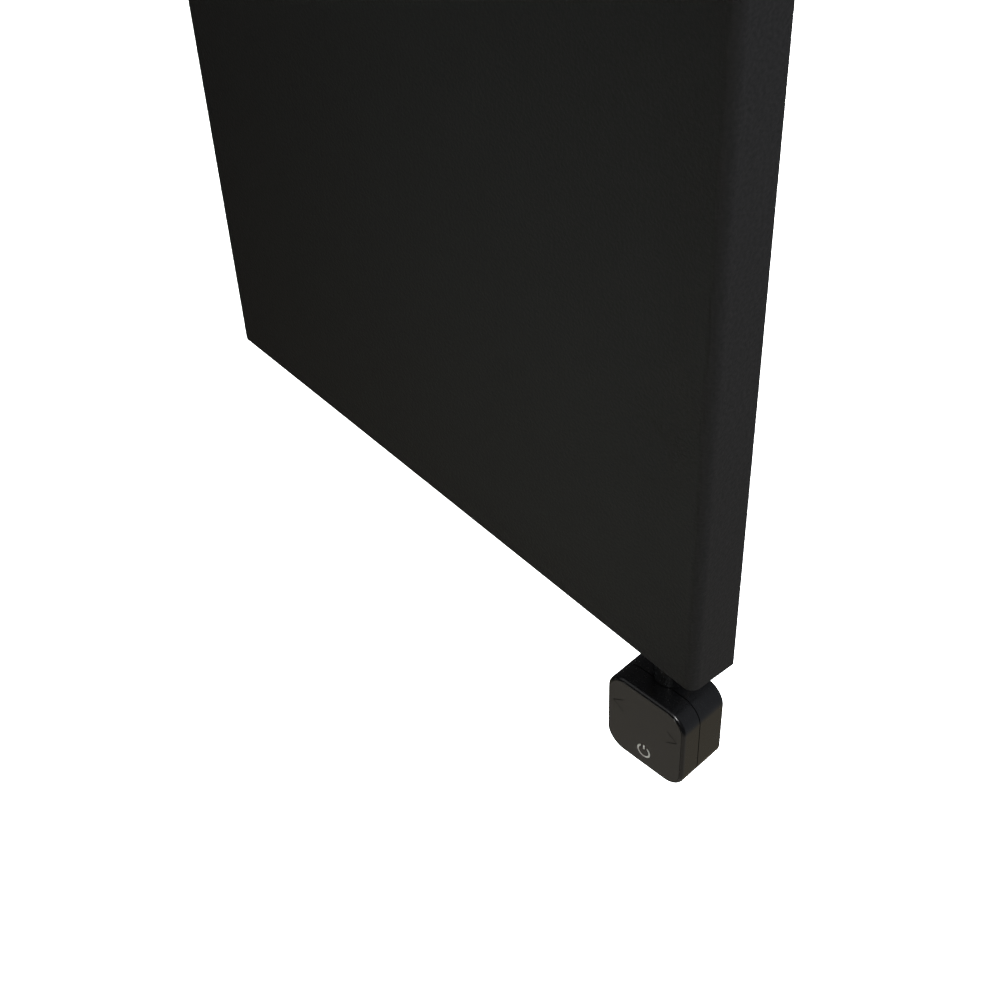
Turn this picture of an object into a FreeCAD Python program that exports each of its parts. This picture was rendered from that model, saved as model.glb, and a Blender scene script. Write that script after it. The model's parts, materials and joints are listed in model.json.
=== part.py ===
import FreeCAD, Part
import os
import re
import Sketcher

# Electric radiator: a folded steel panel on a welded tube register, hung on four wall brackets,
# with a heating element and a turning control head under its right-hand collector.
# Frame: origin on the wall at the centre of the four bracket holes, +X to the right,
# +Y into the wall, +Z up, so the panel faces -Y.

Vector = FreeCAD.Vector
Rotation = FreeCAD.Rotation
axis_x = Vector(1, 0, 0)
axis_y = Vector(0, 1, 0)
axis_z = Vector(0, 0, 1)

# Driving dimensions in millimetres, and two angles in degrees
sizes = {
    # front panel
    "panel_width": 400.0,
    "panel_height": 800.0,
    "panel_depth": 30.0,
    "sheet_thickness": 1.5,
    "fold_radius": 6.0,
    "wall_gap": 40.0,
    "cut_overrun": 1.0,
    # tube register
    "collector_diameter": 25.0,
    "collector_wall": 1.5,
    "collector_inset": 27.2,
    "tube_margin": 70.0,
    "tube_diameter": 18.0,
    "tube_wall": 1.2,
    "flow_port_diameter": 10.0,
    "weld_gap": 0.1,
    # threaded ends
    "thread_diameter": 20.95,
    "thread_length": 11.0,
    "thread_clearance": 0.1,
    "socket_length": 15.0,
    "bottom_recess": 6.0,
    "top_recess": 14.0,
    "gasket_thickness": 1.5,
    "flange_diameter": 24.4,
    "flange_thickness": 3.0,
    "key_width": 10.0,
    "key_depth": 5.0,
    # air vent
    "bleed_diameter": 6.0,
    "bleed_length": 9.0,
    "bleed_head_diameter": 9.0,
    "bleed_head_height": 4.0,
    "bleed_slot_width": 1.2,
    "bleed_slot_depth": 1.8,
    "vent_hole_diameter": 2.0,
    "running_clearance": 0.05,
    # hanging
    "bracket_inset": 70.0,
    "bracket_width": 40.0,
    "bracket_thickness": 3.0,
    "bracket_bend": 2.0,
    "bracket_lip_height": 17.0,
    "bracket_foot": 15.0,
    "bracket_hole_diameter": 7.0,
    "liner_thickness": 1.0,
    "liner_reach": 9.0,
    "hang_clearance": 0.2,
    "lug_width": 30.0,
    "lug_thickness": 2.5,
    "lug_bend": 0.5,
    "lug_lip_depth": 10.0,
    "lug_margin": 6.0,
    # heating element
    "element_flange_height": 5.0,
    "element_wall": 2.0,
    "element_plate": 3.0,
    "rod_diameter": 6.5,
    "rod_spacing": 9.0,
    "rod_length": 420.0,
    "rod_tail": 2.0,
    "rod_clearance": 0.05,
    "sensor_diameter": 4.4,
    "sensor_wall": 0.4,
    "sensor_offset": 6.0,
    "sensor_length": 220.0,
    "probe_length": 24.0,
    "stub_diameter": 12.0,
    "stub_bore": 6.4,
    "stub_tip": 3.0,
    "neck_diameter": 20.0,
    "turn_gap": 0.3,
    "ring_section": 1.8,
    "ring_drop": 3.2,
    "groove_clearance": 0.1,
    "clip_thickness": 1.2,
    "clip_diameter": 17.0,
    "clip_bite": 1.0,
    "clip_mouth": 5.0,
    # control head
    "head_gap": 18.4,
    "head_turn": 4.4,
    "head_width": 53.0,
    "head_height": 57.0,
    "head_depth": 31.5,
    "head_corner": 12.5,
    "head_axis_depth": 20.5,
    "head_edge": 1.0,
    "cover_edge": 2.1,
    "cover_depth": 12.5,
    "shell_wall": 2.0,
    "seam_gap": 0.4,
    "seal_inset": 0.7,
    "seal_width": 1.0,
    "rim_width": 1.7,
    "face_thickness": 1.4,
    "face_clearance": 0.12,
    "floor_thickness": 1.5,
    "neck_boss_wall": 1.4,
    "neck_boss_height": 6.0,
    # face symbols
    "symbol_drop": 45.0,
    "symbol_radius": 4.5,
    "symbol_stroke": 1.05,
    "symbol_opening": 4.2,
    "symbol_bar_rise": 4.9,
    "symbol_bar_length": 3.3,
    "symbol_clearance": 0.04,
    "arrow_drop": 20.2,
    "arrow_reach": 22.0,
    "arrow_length": 8.3,
    "arrow_angle": 32.7,
    "arrow_stroke": 0.4,
    "arrow_groove": 0.12,
    # inside the head
    "screw_inset": 8.5,
    "screw_boss_diameter": 7.2,
    "screw_diameter": 2.6,
    "screw_bite": 6.0,
    "screw_head_diameter": 4.8,
    "screw_head_height": 1.8,
    "screw_sink": 2.4,
    "screw_slot_width": 0.8,
    "screw_slot_length": 3.0,
    "screw_slot_depth": 0.9,
    "screw_clearance": 0.1,
    "shoulder_diameter": 10.0,
    "board_standoff": 2.4,
    "board_thickness": 1.6,
    "board_margin": 0.5,
    "guide_radius": 5.8,
    "guide_flange": 1.0,
    "light_width": 2.0,
    "light_height": 1.0,
    "pad_diameter": 7.0,
    "pad_wall": 1.4,
    "relay_width": 15.0,
    "relay_depth": 10.0,
    "relay_height": 12.0,
    "module_drop": 15.0,
    "module_shift": 10.0,
    "terminal_width": 12.0,
    "terminal_depth": 9.0,
    "terminal_height": 8.0,
    "terminal_hole": 3.0,
    "capacitor_diameter": 8.0,
    "capacitor_length": 11.0,
    "capacitor_drop": 33.0,
    "gland_drop": 44.0,
    "gland_bore": 7.2,
    "gland_wall": 1.6,
    "gland_flange": 1.6,
    "gland_flange_width": 1.8,
    "gland_lip": 1.2,
    "gland_lip_width": 1.0,
}

tube_count = 12
# how far up the row of tubes lies the one that each pair of brackets is level with
row_shares = {"lower": 0.18, "upper": 0.82}
sides = {"left": "-1", "right": "1"}
# how close an edge has to lie to a place to be the one meant, as a share of the cut overrun
near_share = 0.001

doc = FreeCAD.newDocument("electric_radiator")
sheet = doc.addObject("Spreadsheet::Sheet", "sizes")
for row, (alias, amount) in enumerate(sizes.items(), start=1):
    sheet.set(f"A{row}", alias)
    sheet.set(f"B{row}", str(amount))
    sheet.setAlias(f"B{row}", alias)
place_sheet = doc.addObject("Spreadsheet::Sheet", "places")
doc.recompute()

# Places worked out from the driving dimensions, as formulas on the sheet
front_y = "(-wall_gap - panel_depth)"
sheet_back_y = f"({front_y} + sheet_thickness)"
collector_x = "(panel_width / 2 - collector_inset)"
collector_y = f"({sheet_back_y} + weld_gap + collector_diameter / 2)"
tube_y = f"({sheet_back_y} + weld_gap + tube_diameter / 2)"
tube_pitch = f"((panel_height - 2 * tube_margin) / {tube_count - 1})"
bottom_z = "(-panel_height / 2)"
top_z = "(panel_height / 2)"
socket_bottom_z = f"({bottom_z} + bottom_recess)"
socket_top_z = f"({top_z} - top_recess)"
thread_radius = "(thread_diameter / 2)"
thread_bore = f"({thread_radius} + thread_clearance)"
# the heating element, from its seat under the right-hand collector
element_seat_z = f"({socket_bottom_z} - gasket_thickness)"
element_low_z = f"({element_seat_z} - element_flange_height)"
element_top_z = f"({element_seat_z} + thread_length)"
head_top_z = f"({bottom_z} - head_gap)"
stub_radius = "(stub_diameter / 2)"
clip_top_z = f"({head_top_z} - neck_boss_height - running_clearance)"
# the head's own frame: neck axis at x = y = 0, top of the head at z = 0
face_y = "(-head_axis_depth)"
seam_y = f"({face_y} + cover_depth)"
cover_back_y = f"({seam_y} - seam_gap / 2)"
housing_front_y = f"({seam_y} + seam_gap / 2)"
head_back_y = f"({face_y} + head_depth)"
floor_y = f"({face_y} + face_thickness + face_clearance)"
floor_back_y = f"({floor_y} + floor_thickness)"
board_front_y = f"({floor_back_y} + board_standoff)"
board_back_y = f"({board_front_y} + board_thickness)"

subparts = []


def formula(text):
    # bare size names become references to the sheet's cells
    return re.sub(r"[a-z_]+", lambda word: f"sizes.{word[0]}" if word[0] in sizes else word[0], text)


def bind(item, formulas):
    for path, text in formulas.items():
        item.setExpression(path, formula(text))
    return item


def placed(item, x, y, z):
    return bind(item, {"Placement.Base.x": x, "Placement.Base.y": y, "Placement.Base.z": z})


def subpart(item, label):
    item.Label = label
    subparts.append(item)
    return item


def box(name, x, y, z):
    # each of x, y and z is a low end and a length
    item = doc.addObject("Part::Box", name)
    bind(item, {"Length": x[1], "Width": y[1], "Height": z[1]})
    return placed(item, x[0], y[0], z[0])


def cylinder(name, radius, height, x="0", y="0", z="0", along="z"):
    turns = {"x": Rotation(axis_y, 90), "y": Rotation(axis_x, -90), "z": Rotation()}
    item = doc.addObject("Part::Cylinder", name)
    item.Placement = FreeCAD.Placement(Vector(), turns[along])
    bind(item, {"Radius": radius, "Height": height})
    return placed(item, x, y, z)


def fuse(name, items):
    item = doc.addObject("Part::MultiFuse", name)
    item.Shapes = items
    item.Refine = True
    return item


def cut(name, base, tools):
    item = doc.addObject("Part::Cut", name)
    item.Base = base
    item.Tool = tools[0] if len(tools) == 1 else fuse(f"{name}_tools", tools)
    item.Refine = True
    return item


def group(name, items):
    item = doc.addObject("Part::Compound", name)
    item.Links = items
    return item


def ring(name, outer, inner, height, x="0", y="0", z="0", along="z"):
    # a tube whose bore is cut out past both of its ends
    places = {"x": x, "y": y, "z": z}
    places[along] = f"{places[along]} - cut_overrun"
    outside = cylinder(f"{name}_outside", outer, height, x, y, z, along)
    bore = cylinder(f"{name}_bore", inner, f"{height} + 2 * cut_overrun", along=along, **places)
    return cut(name, outside, [bore])


def body_box(body, name, x, y, z):
    item = body.newObject("PartDesign::AdditiveBox", name)
    bind(item, {"Length": x[1], "Width": y[1], "Height": z[1]})
    placed(item, x[0], y[0], z[0])
    doc.recompute()
    return item


def round_edges(body, name, radius, wanted):
    base = body.Tip
    edges = [f"Edge{index}" for index, edge in enumerate(base.Shape.Edges, start=1) if wanted(edge)]
    item = body.newObject("PartDesign::Fillet", name)
    item.Base = (base, edges)
    bind(item, {"Radius": radius})
    doc.recompute()
    return item


def amount_of(text):
    # a second sheet works out one place from the driving dimensions
    place_sheet.set("A1", f"={formula(text)}")
    place_sheet.recompute()
    return float(place_sheet.get("A1"))


def edge_at(axis, **places):
    # tests for a straight edge along an axis that passes through the given places
    wanted = {name: amount_of(text) for name, text in places.items()}
    near = amount_of("cut_overrun") * near_share

    def matches(edge):
        along = abs(edge.tangentAt(edge.FirstParameter).dot(axis)) > 1 - near_share
        middle = edge.CenterOfMass
        return along and all(abs(getattr(middle, name) - place) < near for name, place in wanted.items())

    return matches


def rim_at(place):
    # tests for an edge that lies all along in one plane square to y
    wanted = amount_of(place)
    near = amount_of("cut_overrun") * near_share
    return lambda edge: abs(edge.BoundBox.YMin - wanted) + abs(edge.BoundBox.YMax - wanted) < near


def rounded_block(name, inset, y, depth, rim=None, edge="head_edge"):
    # a block with the head's rounded outline, drawn in by the inset on all four sides
    body = doc.addObject("PartDesign::Body", name)
    width = f"(head_width - 2 * ({inset}))"
    height = f"(head_height - 2 * ({inset}))"
    body_box(body, f"{name}_box", (f"-{width} / 2", width), (y, depth), (f"-({inset}) - {height}", height))
    round_edges(body, f"{name}_corners", f"head_corner - ({inset})", edge_at(axis_y))
    if rim:
        round_edges(body, f"{name}_edge", edge, rim_at(rim))
    return body


def in_head(item, label):
    # carries a piece from the head's own frame to the neck, turned as the head stands
    bind(item, {"Placement.Rotation.Angle": "head_turn"})
    placed(item, collector_x, collector_y, head_top_z)
    return subpart(item, label)


def channel_block(name, width, depth, low_y, low_z, height, fold):
    # an upright block across the panel with its two front edges folded round, padded from a sketch
    body = doc.addObject("PartDesign::Body", name)
    sketch = body.newObject("Sketcher::SketchObject", f"{name}_section")
    plane = next(item for item in body.Origin.OriginFeatures if item.Role == "XY_Plane")
    sketch.AttachmentSupport = (plane, [""])
    sketch.MapMode = "FlatFace"
    bind(sketch, {"AttachmentOffset.Base.y": low_y, "AttachmentOffset.Base.z": low_z})
    corners = [Vector(-1, 0, 0), Vector(1, 0, 0), Vector(1, 1, 0), Vector(-1, 1, 0)]
    for start, end in zip(corners, corners[1:] + corners[:1]):
        sketch.addGeometry(Part.LineSegment(start, end), False)
    for line in range(len(corners)):
        sketch.addConstraint(Sketcher.Constraint("Coincident", line, 2, (line + 1) % len(corners), 1))
        sketch.addConstraint(Sketcher.Constraint("Vertical" if line % 2 else "Horizontal", line))
    sketch.addConstraint(Sketcher.Constraint("Symmetric", 0, 1, 0, 2, -1, 1))
    across = sketch.addConstraint(Sketcher.Constraint("DistanceX", 0, 1, 0, 2, corners[1].x - corners[0].x))
    back = sketch.addConstraint(Sketcher.Constraint("DistanceY", 1, 1, 1, 2, corners[2].y - corners[1].y))
    bind(sketch, {f"Constraints[{across}]": width, f"Constraints[{back}]": depth})
    pad = body.newObject("PartDesign::Pad", f"{name}_pad")
    pad.Profile = sketch
    bind(pad, {"Length": height})
    doc.recompute()
    round_edges(body, f"{name}_folds", fold, edge_at(axis_z, y=low_y))
    return body


def tube_z(index):
    return f"({index - (tube_count - 1) / 2} * {tube_pitch})"


# Front panel: one sheet folded back along both long sides
panel_outside = channel_block("panel_outside", "panel_width", "panel_depth", front_y, bottom_z,
                              "panel_height", "fold_radius")
panel_inside = channel_block("panel_inside", "panel_width - 2 * sheet_thickness",
                             "panel_depth - sheet_thickness + cut_overrun", sheet_back_y,
                             f"{bottom_z} - cut_overrun", "panel_height + 2 * cut_overrun",
                             "fold_radius - sheet_thickness")
subpart(cut("front_panel", panel_outside, [panel_inside]), "front_panel")

# Collectors: upright tubes with a flow port for each cross tube
collector_low_z = f"({socket_bottom_z} + socket_length)"
collector_length = f"({socket_top_z} - {socket_bottom_z} - 2 * socket_length)"
envelopes = []
for side, sign in sides.items():
    name = f"collector_{side}"
    x = f"({sign} * {collector_x})"
    inward_x = f"({x} - collector_diameter * ({sign} + 1) / 2)"
    tools = [cylinder(f"{name}_bore", "collector_diameter / 2 - collector_wall",
                      f"{collector_length} + 2 * cut_overrun", x, collector_y,
                      f"{collector_low_z} - cut_overrun")]
    for index in range(tube_count):
        tools.append(cylinder(f"{name}_port_{index}", "flow_port_diameter / 2", "collector_diameter",
                              inward_x, tube_y, tube_z(index), "x"))
    tube = cylinder(f"{name}_tube", "collector_diameter / 2", collector_length, x, collector_y,
                    collector_low_z)
    subpart(cut(name, tube, tools), name)
    envelopes.append(cylinder(f"{name}_envelope", "collector_diameter / 2 + weld_gap", "panel_height",
                              x, collector_y, bottom_z))

# Cross tubes: coped to the collectors and lying against the sheet
for index in range(tube_count):
    name = f"cross_tube_{index + 1:02d}"
    tube = ring(f"{name}_blank", "tube_diameter / 2", "tube_diameter / 2 - tube_wall", f"2 * {collector_x}",
                f"-{collector_x}", tube_y, tube_z(index), "x")
    subpart(cut(name, tube, envelopes), name)

# Threaded sockets butted to the collectors' ends
for side, sign in sides.items():
    for end, low_z in (("bottom", socket_bottom_z), ("top", f"({socket_top_z} - socket_length)")):
        name = f"socket_{end}_{side}"
        socket = ring(name, "collector_diameter / 2", thread_bore, "socket_length",
                      f"({sign} * {collector_x})", collector_y, low_z)
        subpart(socket, name)


def screw_plug(name, x, end):
    # flange and thread of a plug, returned with its gasket and the z of its outer face
    out = {"bottom": "-1", "top": "1"}[end]
    seat_z = socket_bottom_z if end == "bottom" else socket_top_z
    flange_z = f"({seat_z} + {out} * gasket_thickness)"
    outer_z = f"({flange_z} + {out} * flange_thickness)"
    length = "(flange_thickness + thread_length)"
    flange_low_z = outer_z if end == "bottom" else flange_z
    thread_low_z = outer_z if end == "bottom" else f"({outer_z} - {length})"
    flange = cylinder(f"{name}_flange", "flange_diameter / 2", "flange_thickness", x, collector_y,
                      flange_low_z)
    thread = cylinder(f"{name}_thread", thread_radius, length, x, collector_y, thread_low_z)
    gasket_low_z = flange_z if end == "bottom" else seat_z
    gasket = ring(f"{name}_gasket", "flange_diameter / 2", thread_bore, "gasket_thickness",
                  x, collector_y, gasket_low_z)
    return fuse(f"{name}_blank", [flange, thread]), gasket, outer_z


# Blind plugs with a hexagon key recess, on the left
left_x = f"(-{collector_x})"
right_x = collector_x
gaskets = []
for end in ("bottom", "top"):
    name = f"blind_plug_{end}"
    blank, gasket, outer_z = screw_plug(name, left_x, end)
    gaskets.append(gasket)
    key = doc.addObject("Part::Prism", f"{name}_key")
    bind(key, {"Circumradius": "key_width / sqrt(3)", "Height": "key_depth + cut_overrun"})
    placed(key, left_x, collector_y, f"{outer_z} - {'cut_overrun' if end == 'bottom' else 'key_depth'}")
    subpart(cut(name, blank, [key]), name)

# Air vent plug at the top right, with its bleed screw
vent_blank, vent_gasket, vent_z = screw_plug("air_vent", right_x, "top")
gaskets.append(vent_gasket)
vent_bore = cylinder("vent_bore", "bleed_diameter / 2 + running_clearance", "bleed_length + cut_overrun",
                     right_x, collector_y, f"{vent_z} - bleed_length")
vent_hole = cylinder("vent_hole", "vent_hole_diameter / 2",
                     "flange_thickness + thread_length + cut_overrun",
                     right_x, collector_y, f"{vent_z} - flange_thickness - thread_length - cut_overrun")
subpart(cut("air_vent_plug", vent_blank, [vent_bore, vent_hole]), "air_vent_plug")
subpart(group("plug_gaskets", gaskets), "plug_gaskets")
bleed_z = f"({vent_z} + running_clearance)"
bleed_shaft = cylinder("bleed_shaft", "bleed_diameter / 2", "bleed_length", right_x, collector_y,
                       f"{bleed_z} - bleed_length")
bleed_head = cylinder("bleed_head", "bleed_head_diameter / 2", "bleed_head_height", right_x, collector_y,
                      bleed_z)
bleed_slot = box("bleed_slot", (f"{right_x} - bleed_head_diameter", "2 * bleed_head_diameter"),
                 (f"{collector_y} - bleed_slot_width / 2", "bleed_slot_width"),
                 (f"{bleed_z} + bleed_head_height - bleed_slot_depth", "bleed_slot_depth + cut_overrun"))
subpart(cut("bleed_screw", fuse("bleed_blank", [bleed_shaft, bleed_head]), [bleed_slot]), "bleed_screw")

# Hanger lugs, wall brackets and liners: a folded hook over a folded lip
web_y = f"({tube_y} + tube_diameter / 2 + weld_gap)"
lip_y = f"({web_y} + lug_thickness + hang_clearance + liner_thickness)"
lip_back_y = f"({lip_y} + bracket_thickness)"
hook_y = f"({lip_back_y} + liner_thickness + hang_clearance)"
hook_back_y = f"({hook_y} + lug_thickness)"
for row_name, share in row_shares.items():
    row = round(share * (tube_count - 1))
    for side, sign in sides.items():
        place = f"{row_name}_{side}"
        x = f"({sign} * (panel_width / 2 - bracket_inset))"
        lug_span = (f"{x} - lug_width / 2", "lug_width")
        bracket_span = (f"{x} - bracket_width / 2", "bracket_width")
        hole_z = tube_z(row)
        lug_top_z = f"({tube_z(row + 1)} + lug_margin)"
        lug_low_z = f"({hole_z} - lug_margin)"
        shelf_z = f"({lug_top_z} - lug_thickness)"
        lip_top_z = f"({shelf_z} - hang_clearance - liner_thickness)"
        arm_z = f"({lip_top_z} - bracket_lip_height)"
        arm_top_z = f"({arm_z} + bracket_thickness)"

        lug = doc.addObject("PartDesign::Body", f"hanger_lug_{place}")
        body_box(lug, f"lug_web_{place}", lug_span, (web_y, "lug_thickness"),
                 (lug_low_z, f"{lug_top_z} - {lug_low_z}"))
        body_box(lug, f"lug_shelf_{place}", lug_span, (web_y, f"{hook_back_y} - {web_y}"),
                 (shelf_z, "lug_thickness"))
        body_box(lug, f"lug_hook_{place}", lug_span, (hook_y, "lug_thickness"),
                 (f"{lug_top_z} - lug_lip_depth", "lug_lip_depth"))
        for bend, outer_y, inner_y in (("web", web_y, f"{web_y} + lug_thickness"),
                                       ("hook", hook_back_y, hook_y)):
            round_edges(lug, f"lug_{bend}_outside_{place}", "lug_bend + lug_thickness",
                        edge_at(axis_x, y=outer_y, z=lug_top_z))
            round_edges(lug, f"lug_{bend}_inside_{place}", "lug_bend",
                        edge_at(axis_x, y=inner_y, z=shelf_z))
        subpart(lug, f"hanger_lug_{place}")

        bracket = doc.addObject("PartDesign::Body", f"wall_bracket_{place}")
        body_box(bracket, f"bracket_leg_{place}", bracket_span, ("-bracket_thickness", "bracket_thickness"),
                 (f"{hole_z} - bracket_foot", f"{arm_top_z} - {hole_z} + bracket_foot"))
        body_box(bracket, f"bracket_arm_{place}", bracket_span, (lip_y, f"-{lip_y}"),
                 (arm_z, "bracket_thickness"))
        body_box(bracket, f"bracket_lip_{place}", bracket_span, (lip_y, "bracket_thickness"),
                 (arm_z, "bracket_lip_height"))
        bends = (("wall_outside", "bracket_bend + bracket_thickness", "0", arm_top_z),
                 ("wall_inside", "bracket_bend", "-bracket_thickness", arm_z),
                 ("lip_outside", "bracket_bend + bracket_thickness", lip_y, arm_z),
                 ("lip_inside", "bracket_bend", lip_back_y, arm_top_z))
        for bend, radius, y, z in bends:
            round_edges(bracket, f"bracket_{bend}_{place}", radius, edge_at(axis_x, y=y, z=z))
        hole = bracket.newObject("PartDesign::SubtractiveCylinder", f"bracket_hole_{place}")
        hole.Placement = FreeCAD.Placement(Vector(), Rotation(axis_x, -90))
        bind(hole, {"Radius": "bracket_hole_diameter / 2", "Height": "bracket_thickness + 2 * cut_overrun"})
        placed(hole, x, "-bracket_thickness - cut_overrun", hole_z)
        doc.recompute()
        subpart(bracket, f"wall_bracket_{place}")

        cap = box(f"liner_cap_{place}", bracket_span,
                  (f"{lip_y} - liner_thickness", "bracket_thickness + 2 * liner_thickness"),
                  (f"{lip_top_z} - liner_reach", "liner_reach + liner_thickness"))
        slot = box(f"liner_slot_{place}",
                   (f"{bracket_span[0]} - cut_overrun", "bracket_width + 2 * cut_overrun"),
                   (lip_y, "bracket_thickness"),
                   (f"{lip_top_z} - liner_reach - cut_overrun", "liner_reach + cut_overrun"))
        subpart(cut(f"bracket_liner_{place}", cap, [slot]), f"bracket_liner_{place}")

# Heating element: fitting with a hollow stub, gasket, U-shaped rod, sensor pocket and sensor
at_neck = (collector_x, collector_y)
stub_low_z = f"({clip_top_z} - clip_thickness - stub_tip)"
rod_low_z = f"({element_top_z} - element_plate - rod_tail)"
sensor_y = f"({collector_y} + sensor_offset)"
rod_places = {side: f"({collector_x} + {sign} * rod_spacing / 2)" for side, sign in sides.items()}
fitting_blank = fuse("fitting_blank", [
    cylinder("fitting_flange", "flange_diameter / 2", "element_flange_height", *at_neck, element_low_z),
    cylinder("fitting_thread", thread_radius, "element_flange_height + thread_length", *at_neck,
             element_low_z),
    cylinder("fitting_stub", stub_radius, f"{element_top_z} - {stub_low_z}", *at_neck, stub_low_z)])
fitting_tools = [
    cylinder("fitting_cavity", f"{thread_radius} - element_wall",
             f"{element_top_z} - element_plate - {element_low_z} - element_wall", *at_neck,
             f"{element_low_z} + element_wall"),
    cylinder("fitting_bore", "stub_bore / 2",
             f"{element_low_z} + 2 * element_wall - {stub_low_z} + cut_overrun",
             *at_neck, f"{stub_low_z} - cut_overrun"),
    cylinder("sensor_hole", "sensor_diameter / 2 + rod_clearance", "element_plate + 2 * cut_overrun",
             collector_x, sensor_y, f"{element_top_z} - element_plate - cut_overrun"),
    ring("ring_groove", f"{stub_radius} + cut_overrun", f"{stub_radius} - ring_section - groove_clearance",
         "ring_section + 2 * groove_clearance", *at_neck,
         f"({head_top_z} - ring_drop - ring_section / 2 - groove_clearance)"),
    ring("clip_groove", f"{stub_radius} + cut_overrun", f"{stub_radius} - clip_bite",
         "clip_thickness + 2 * groove_clearance", *at_neck,
         f"({clip_top_z} - clip_thickness - groove_clearance)")]
rod_bits = []
for side, x in rod_places.items():
    fitting_tools.append(cylinder(f"rod_hole_{side}", "rod_diameter / 2 + rod_clearance",
                                  "element_plate + 2 * cut_overrun", x, collector_y,
                                  f"{element_top_z} - element_plate - cut_overrun"))
    rod_bits.append(cylinder(f"rod_leg_{side}", "rod_diameter / 2",
                             f"{element_top_z} + rod_length - {rod_low_z}", x, collector_y, rod_low_z))
subpart(cut("element_fitting", fitting_blank, fitting_tools), "element_fitting")
rod_bend = doc.addObject("Part::Torus", "rod_bend")
rod_bend.Angle3 = 180
rod_bend.Placement = FreeCAD.Placement(Vector(), Rotation(axis_x, 90))
bind(rod_bend, {"Radius1": "rod_spacing / 2", "Radius2": "rod_diameter / 2"})
placed(rod_bend, *at_neck, f"{element_top_z} + rod_length")
subpart(fuse("heating_rod", rod_bits + [rod_bend]), "heating_rod")
element_gasket = ring("element_gasket", "flange_diameter / 2", thread_bore, "gasket_thickness", *at_neck,
                      element_seat_z)
subpart(element_gasket, "element_gasket")
sensor_top_z = f"({element_top_z} + sensor_length)"
sensor_inside = "(sensor_diameter / 2 - sensor_wall)"
pocket = cylinder("pocket_outside", "sensor_diameter / 2", f"{sensor_top_z} - {rod_low_z}", collector_x,
                  sensor_y, rod_low_z)
pocket_bore = cylinder("pocket_bore", sensor_inside,
                       f"{sensor_top_z} - {rod_low_z} - sensor_wall + cut_overrun",
                       collector_x, sensor_y, f"{rod_low_z} - cut_overrun")
subpart(cut("sensor_pocket", pocket, [pocket_bore]), "sensor_pocket")
sensor = cylinder("temperature_sensor", f"{sensor_inside} - rod_clearance", "probe_length", collector_x,
                  sensor_y, f"{sensor_top_z} - sensor_wall - rod_clearance - probe_length")
subpart(sensor, "temperature_sensor")

# Neck: collar on the stub, O-ring in its groove, and the ring that the head hangs on
collar_low_z = f"({head_top_z} + turn_gap)"
collar = ring("neck_collar", "neck_diameter / 2", f"{stub_radius} + rod_clearance",
              f"({element_low_z} - {collar_low_z})", *at_neck, collar_low_z)
subpart(collar, "neck_collar")
o_ring = doc.addObject("Part::Torus", "neck_o_ring")
bind(o_ring, {"Radius1": f"{stub_radius} - ring_section / 2", "Radius2": "ring_section / 2"})
subpart(placed(o_ring, *at_neck, f"{head_top_z} - ring_drop"), "neck_o_ring")
clip_blank = ring("clip_blank", "clip_diameter / 2", f"{stub_radius} - clip_bite + rod_clearance",
                  "clip_thickness", *at_neck, f"({clip_top_z} - clip_thickness)")
clip_mouth = box("clip_mouth_cut", (f"{collector_x} - clip_mouth / 2", "clip_mouth"),
                 (collector_y, "clip_diameter"),
                 (f"{clip_top_z} - clip_thickness - cut_overrun", "clip_thickness + 2 * cut_overrun"))
subpart(cut("retaining_ring", clip_blank, [clip_mouth]), "retaining_ring")

# Control head, built in its own frame: four screw places behind the corners
screw_places = {}
for side, sign in sides.items():
    for end, z in (("low", "(-head_height + screw_inset)"), ("high", "(-screw_inset)")):
        screw_places[f"{end}_{side}"] = (f"({sign} * (head_width / 2 - screw_inset))", z)

# Rear housing: shell, neck boss and screw bosses
neck_bore = f"({stub_radius} + running_clearance)"
housing_shell = cut("housing_shell",
                    rounded_block("housing_outside", "0", housing_front_y,
                                  f"{head_back_y} - {housing_front_y}", head_back_y),
                    [rounded_block("housing_inside", "shell_wall", f"{housing_front_y} - cut_overrun",
                                   f"{head_back_y} - shell_wall - {housing_front_y} + cut_overrun")])
neck_boss = cylinder("neck_boss", f"{neck_bore} + neck_boss_wall", "neck_boss_height - shell_wall / 2",
                     z="-neck_boss_height")
housing_adds = [housing_shell, neck_boss]
housing_cuts = [cylinder("neck_bore", neck_bore, "neck_boss_height + 2 * cut_overrun",
                         z="-neck_boss_height - cut_overrun"),
                cylinder("gland_hole", "gland_bore / 2 + gland_wall + rod_clearance",
                         "shell_wall + 2 * cut_overrun",
                         y=f"{head_back_y} - shell_wall - cut_overrun", z="-gland_drop", along="y")]
for place, (x, z) in screw_places.items():
    housing_adds.append(cylinder(f"housing_boss_{place}", "screw_boss_diameter / 2",
                                 f"{head_back_y} - shell_wall / 2 - {housing_front_y}", x,
                                 housing_front_y, z, "y"))
    housing_cuts.append(cylinder(f"screw_hole_{place}", "screw_diameter / 2 + screw_clearance",
                                 "head_depth", x, f"{housing_front_y} - cut_overrun", z, "y"))
    housing_cuts.append(cylinder(f"screw_sink_{place}", "screw_head_diameter / 2 + screw_clearance",
                                 "screw_sink + cut_overrun", x, f"{head_back_y} - screw_sink", z, "y"))
in_head(cut("rear_housing", fuse("housing_solid", housing_adds), housing_cuts), "rear_housing")

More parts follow.
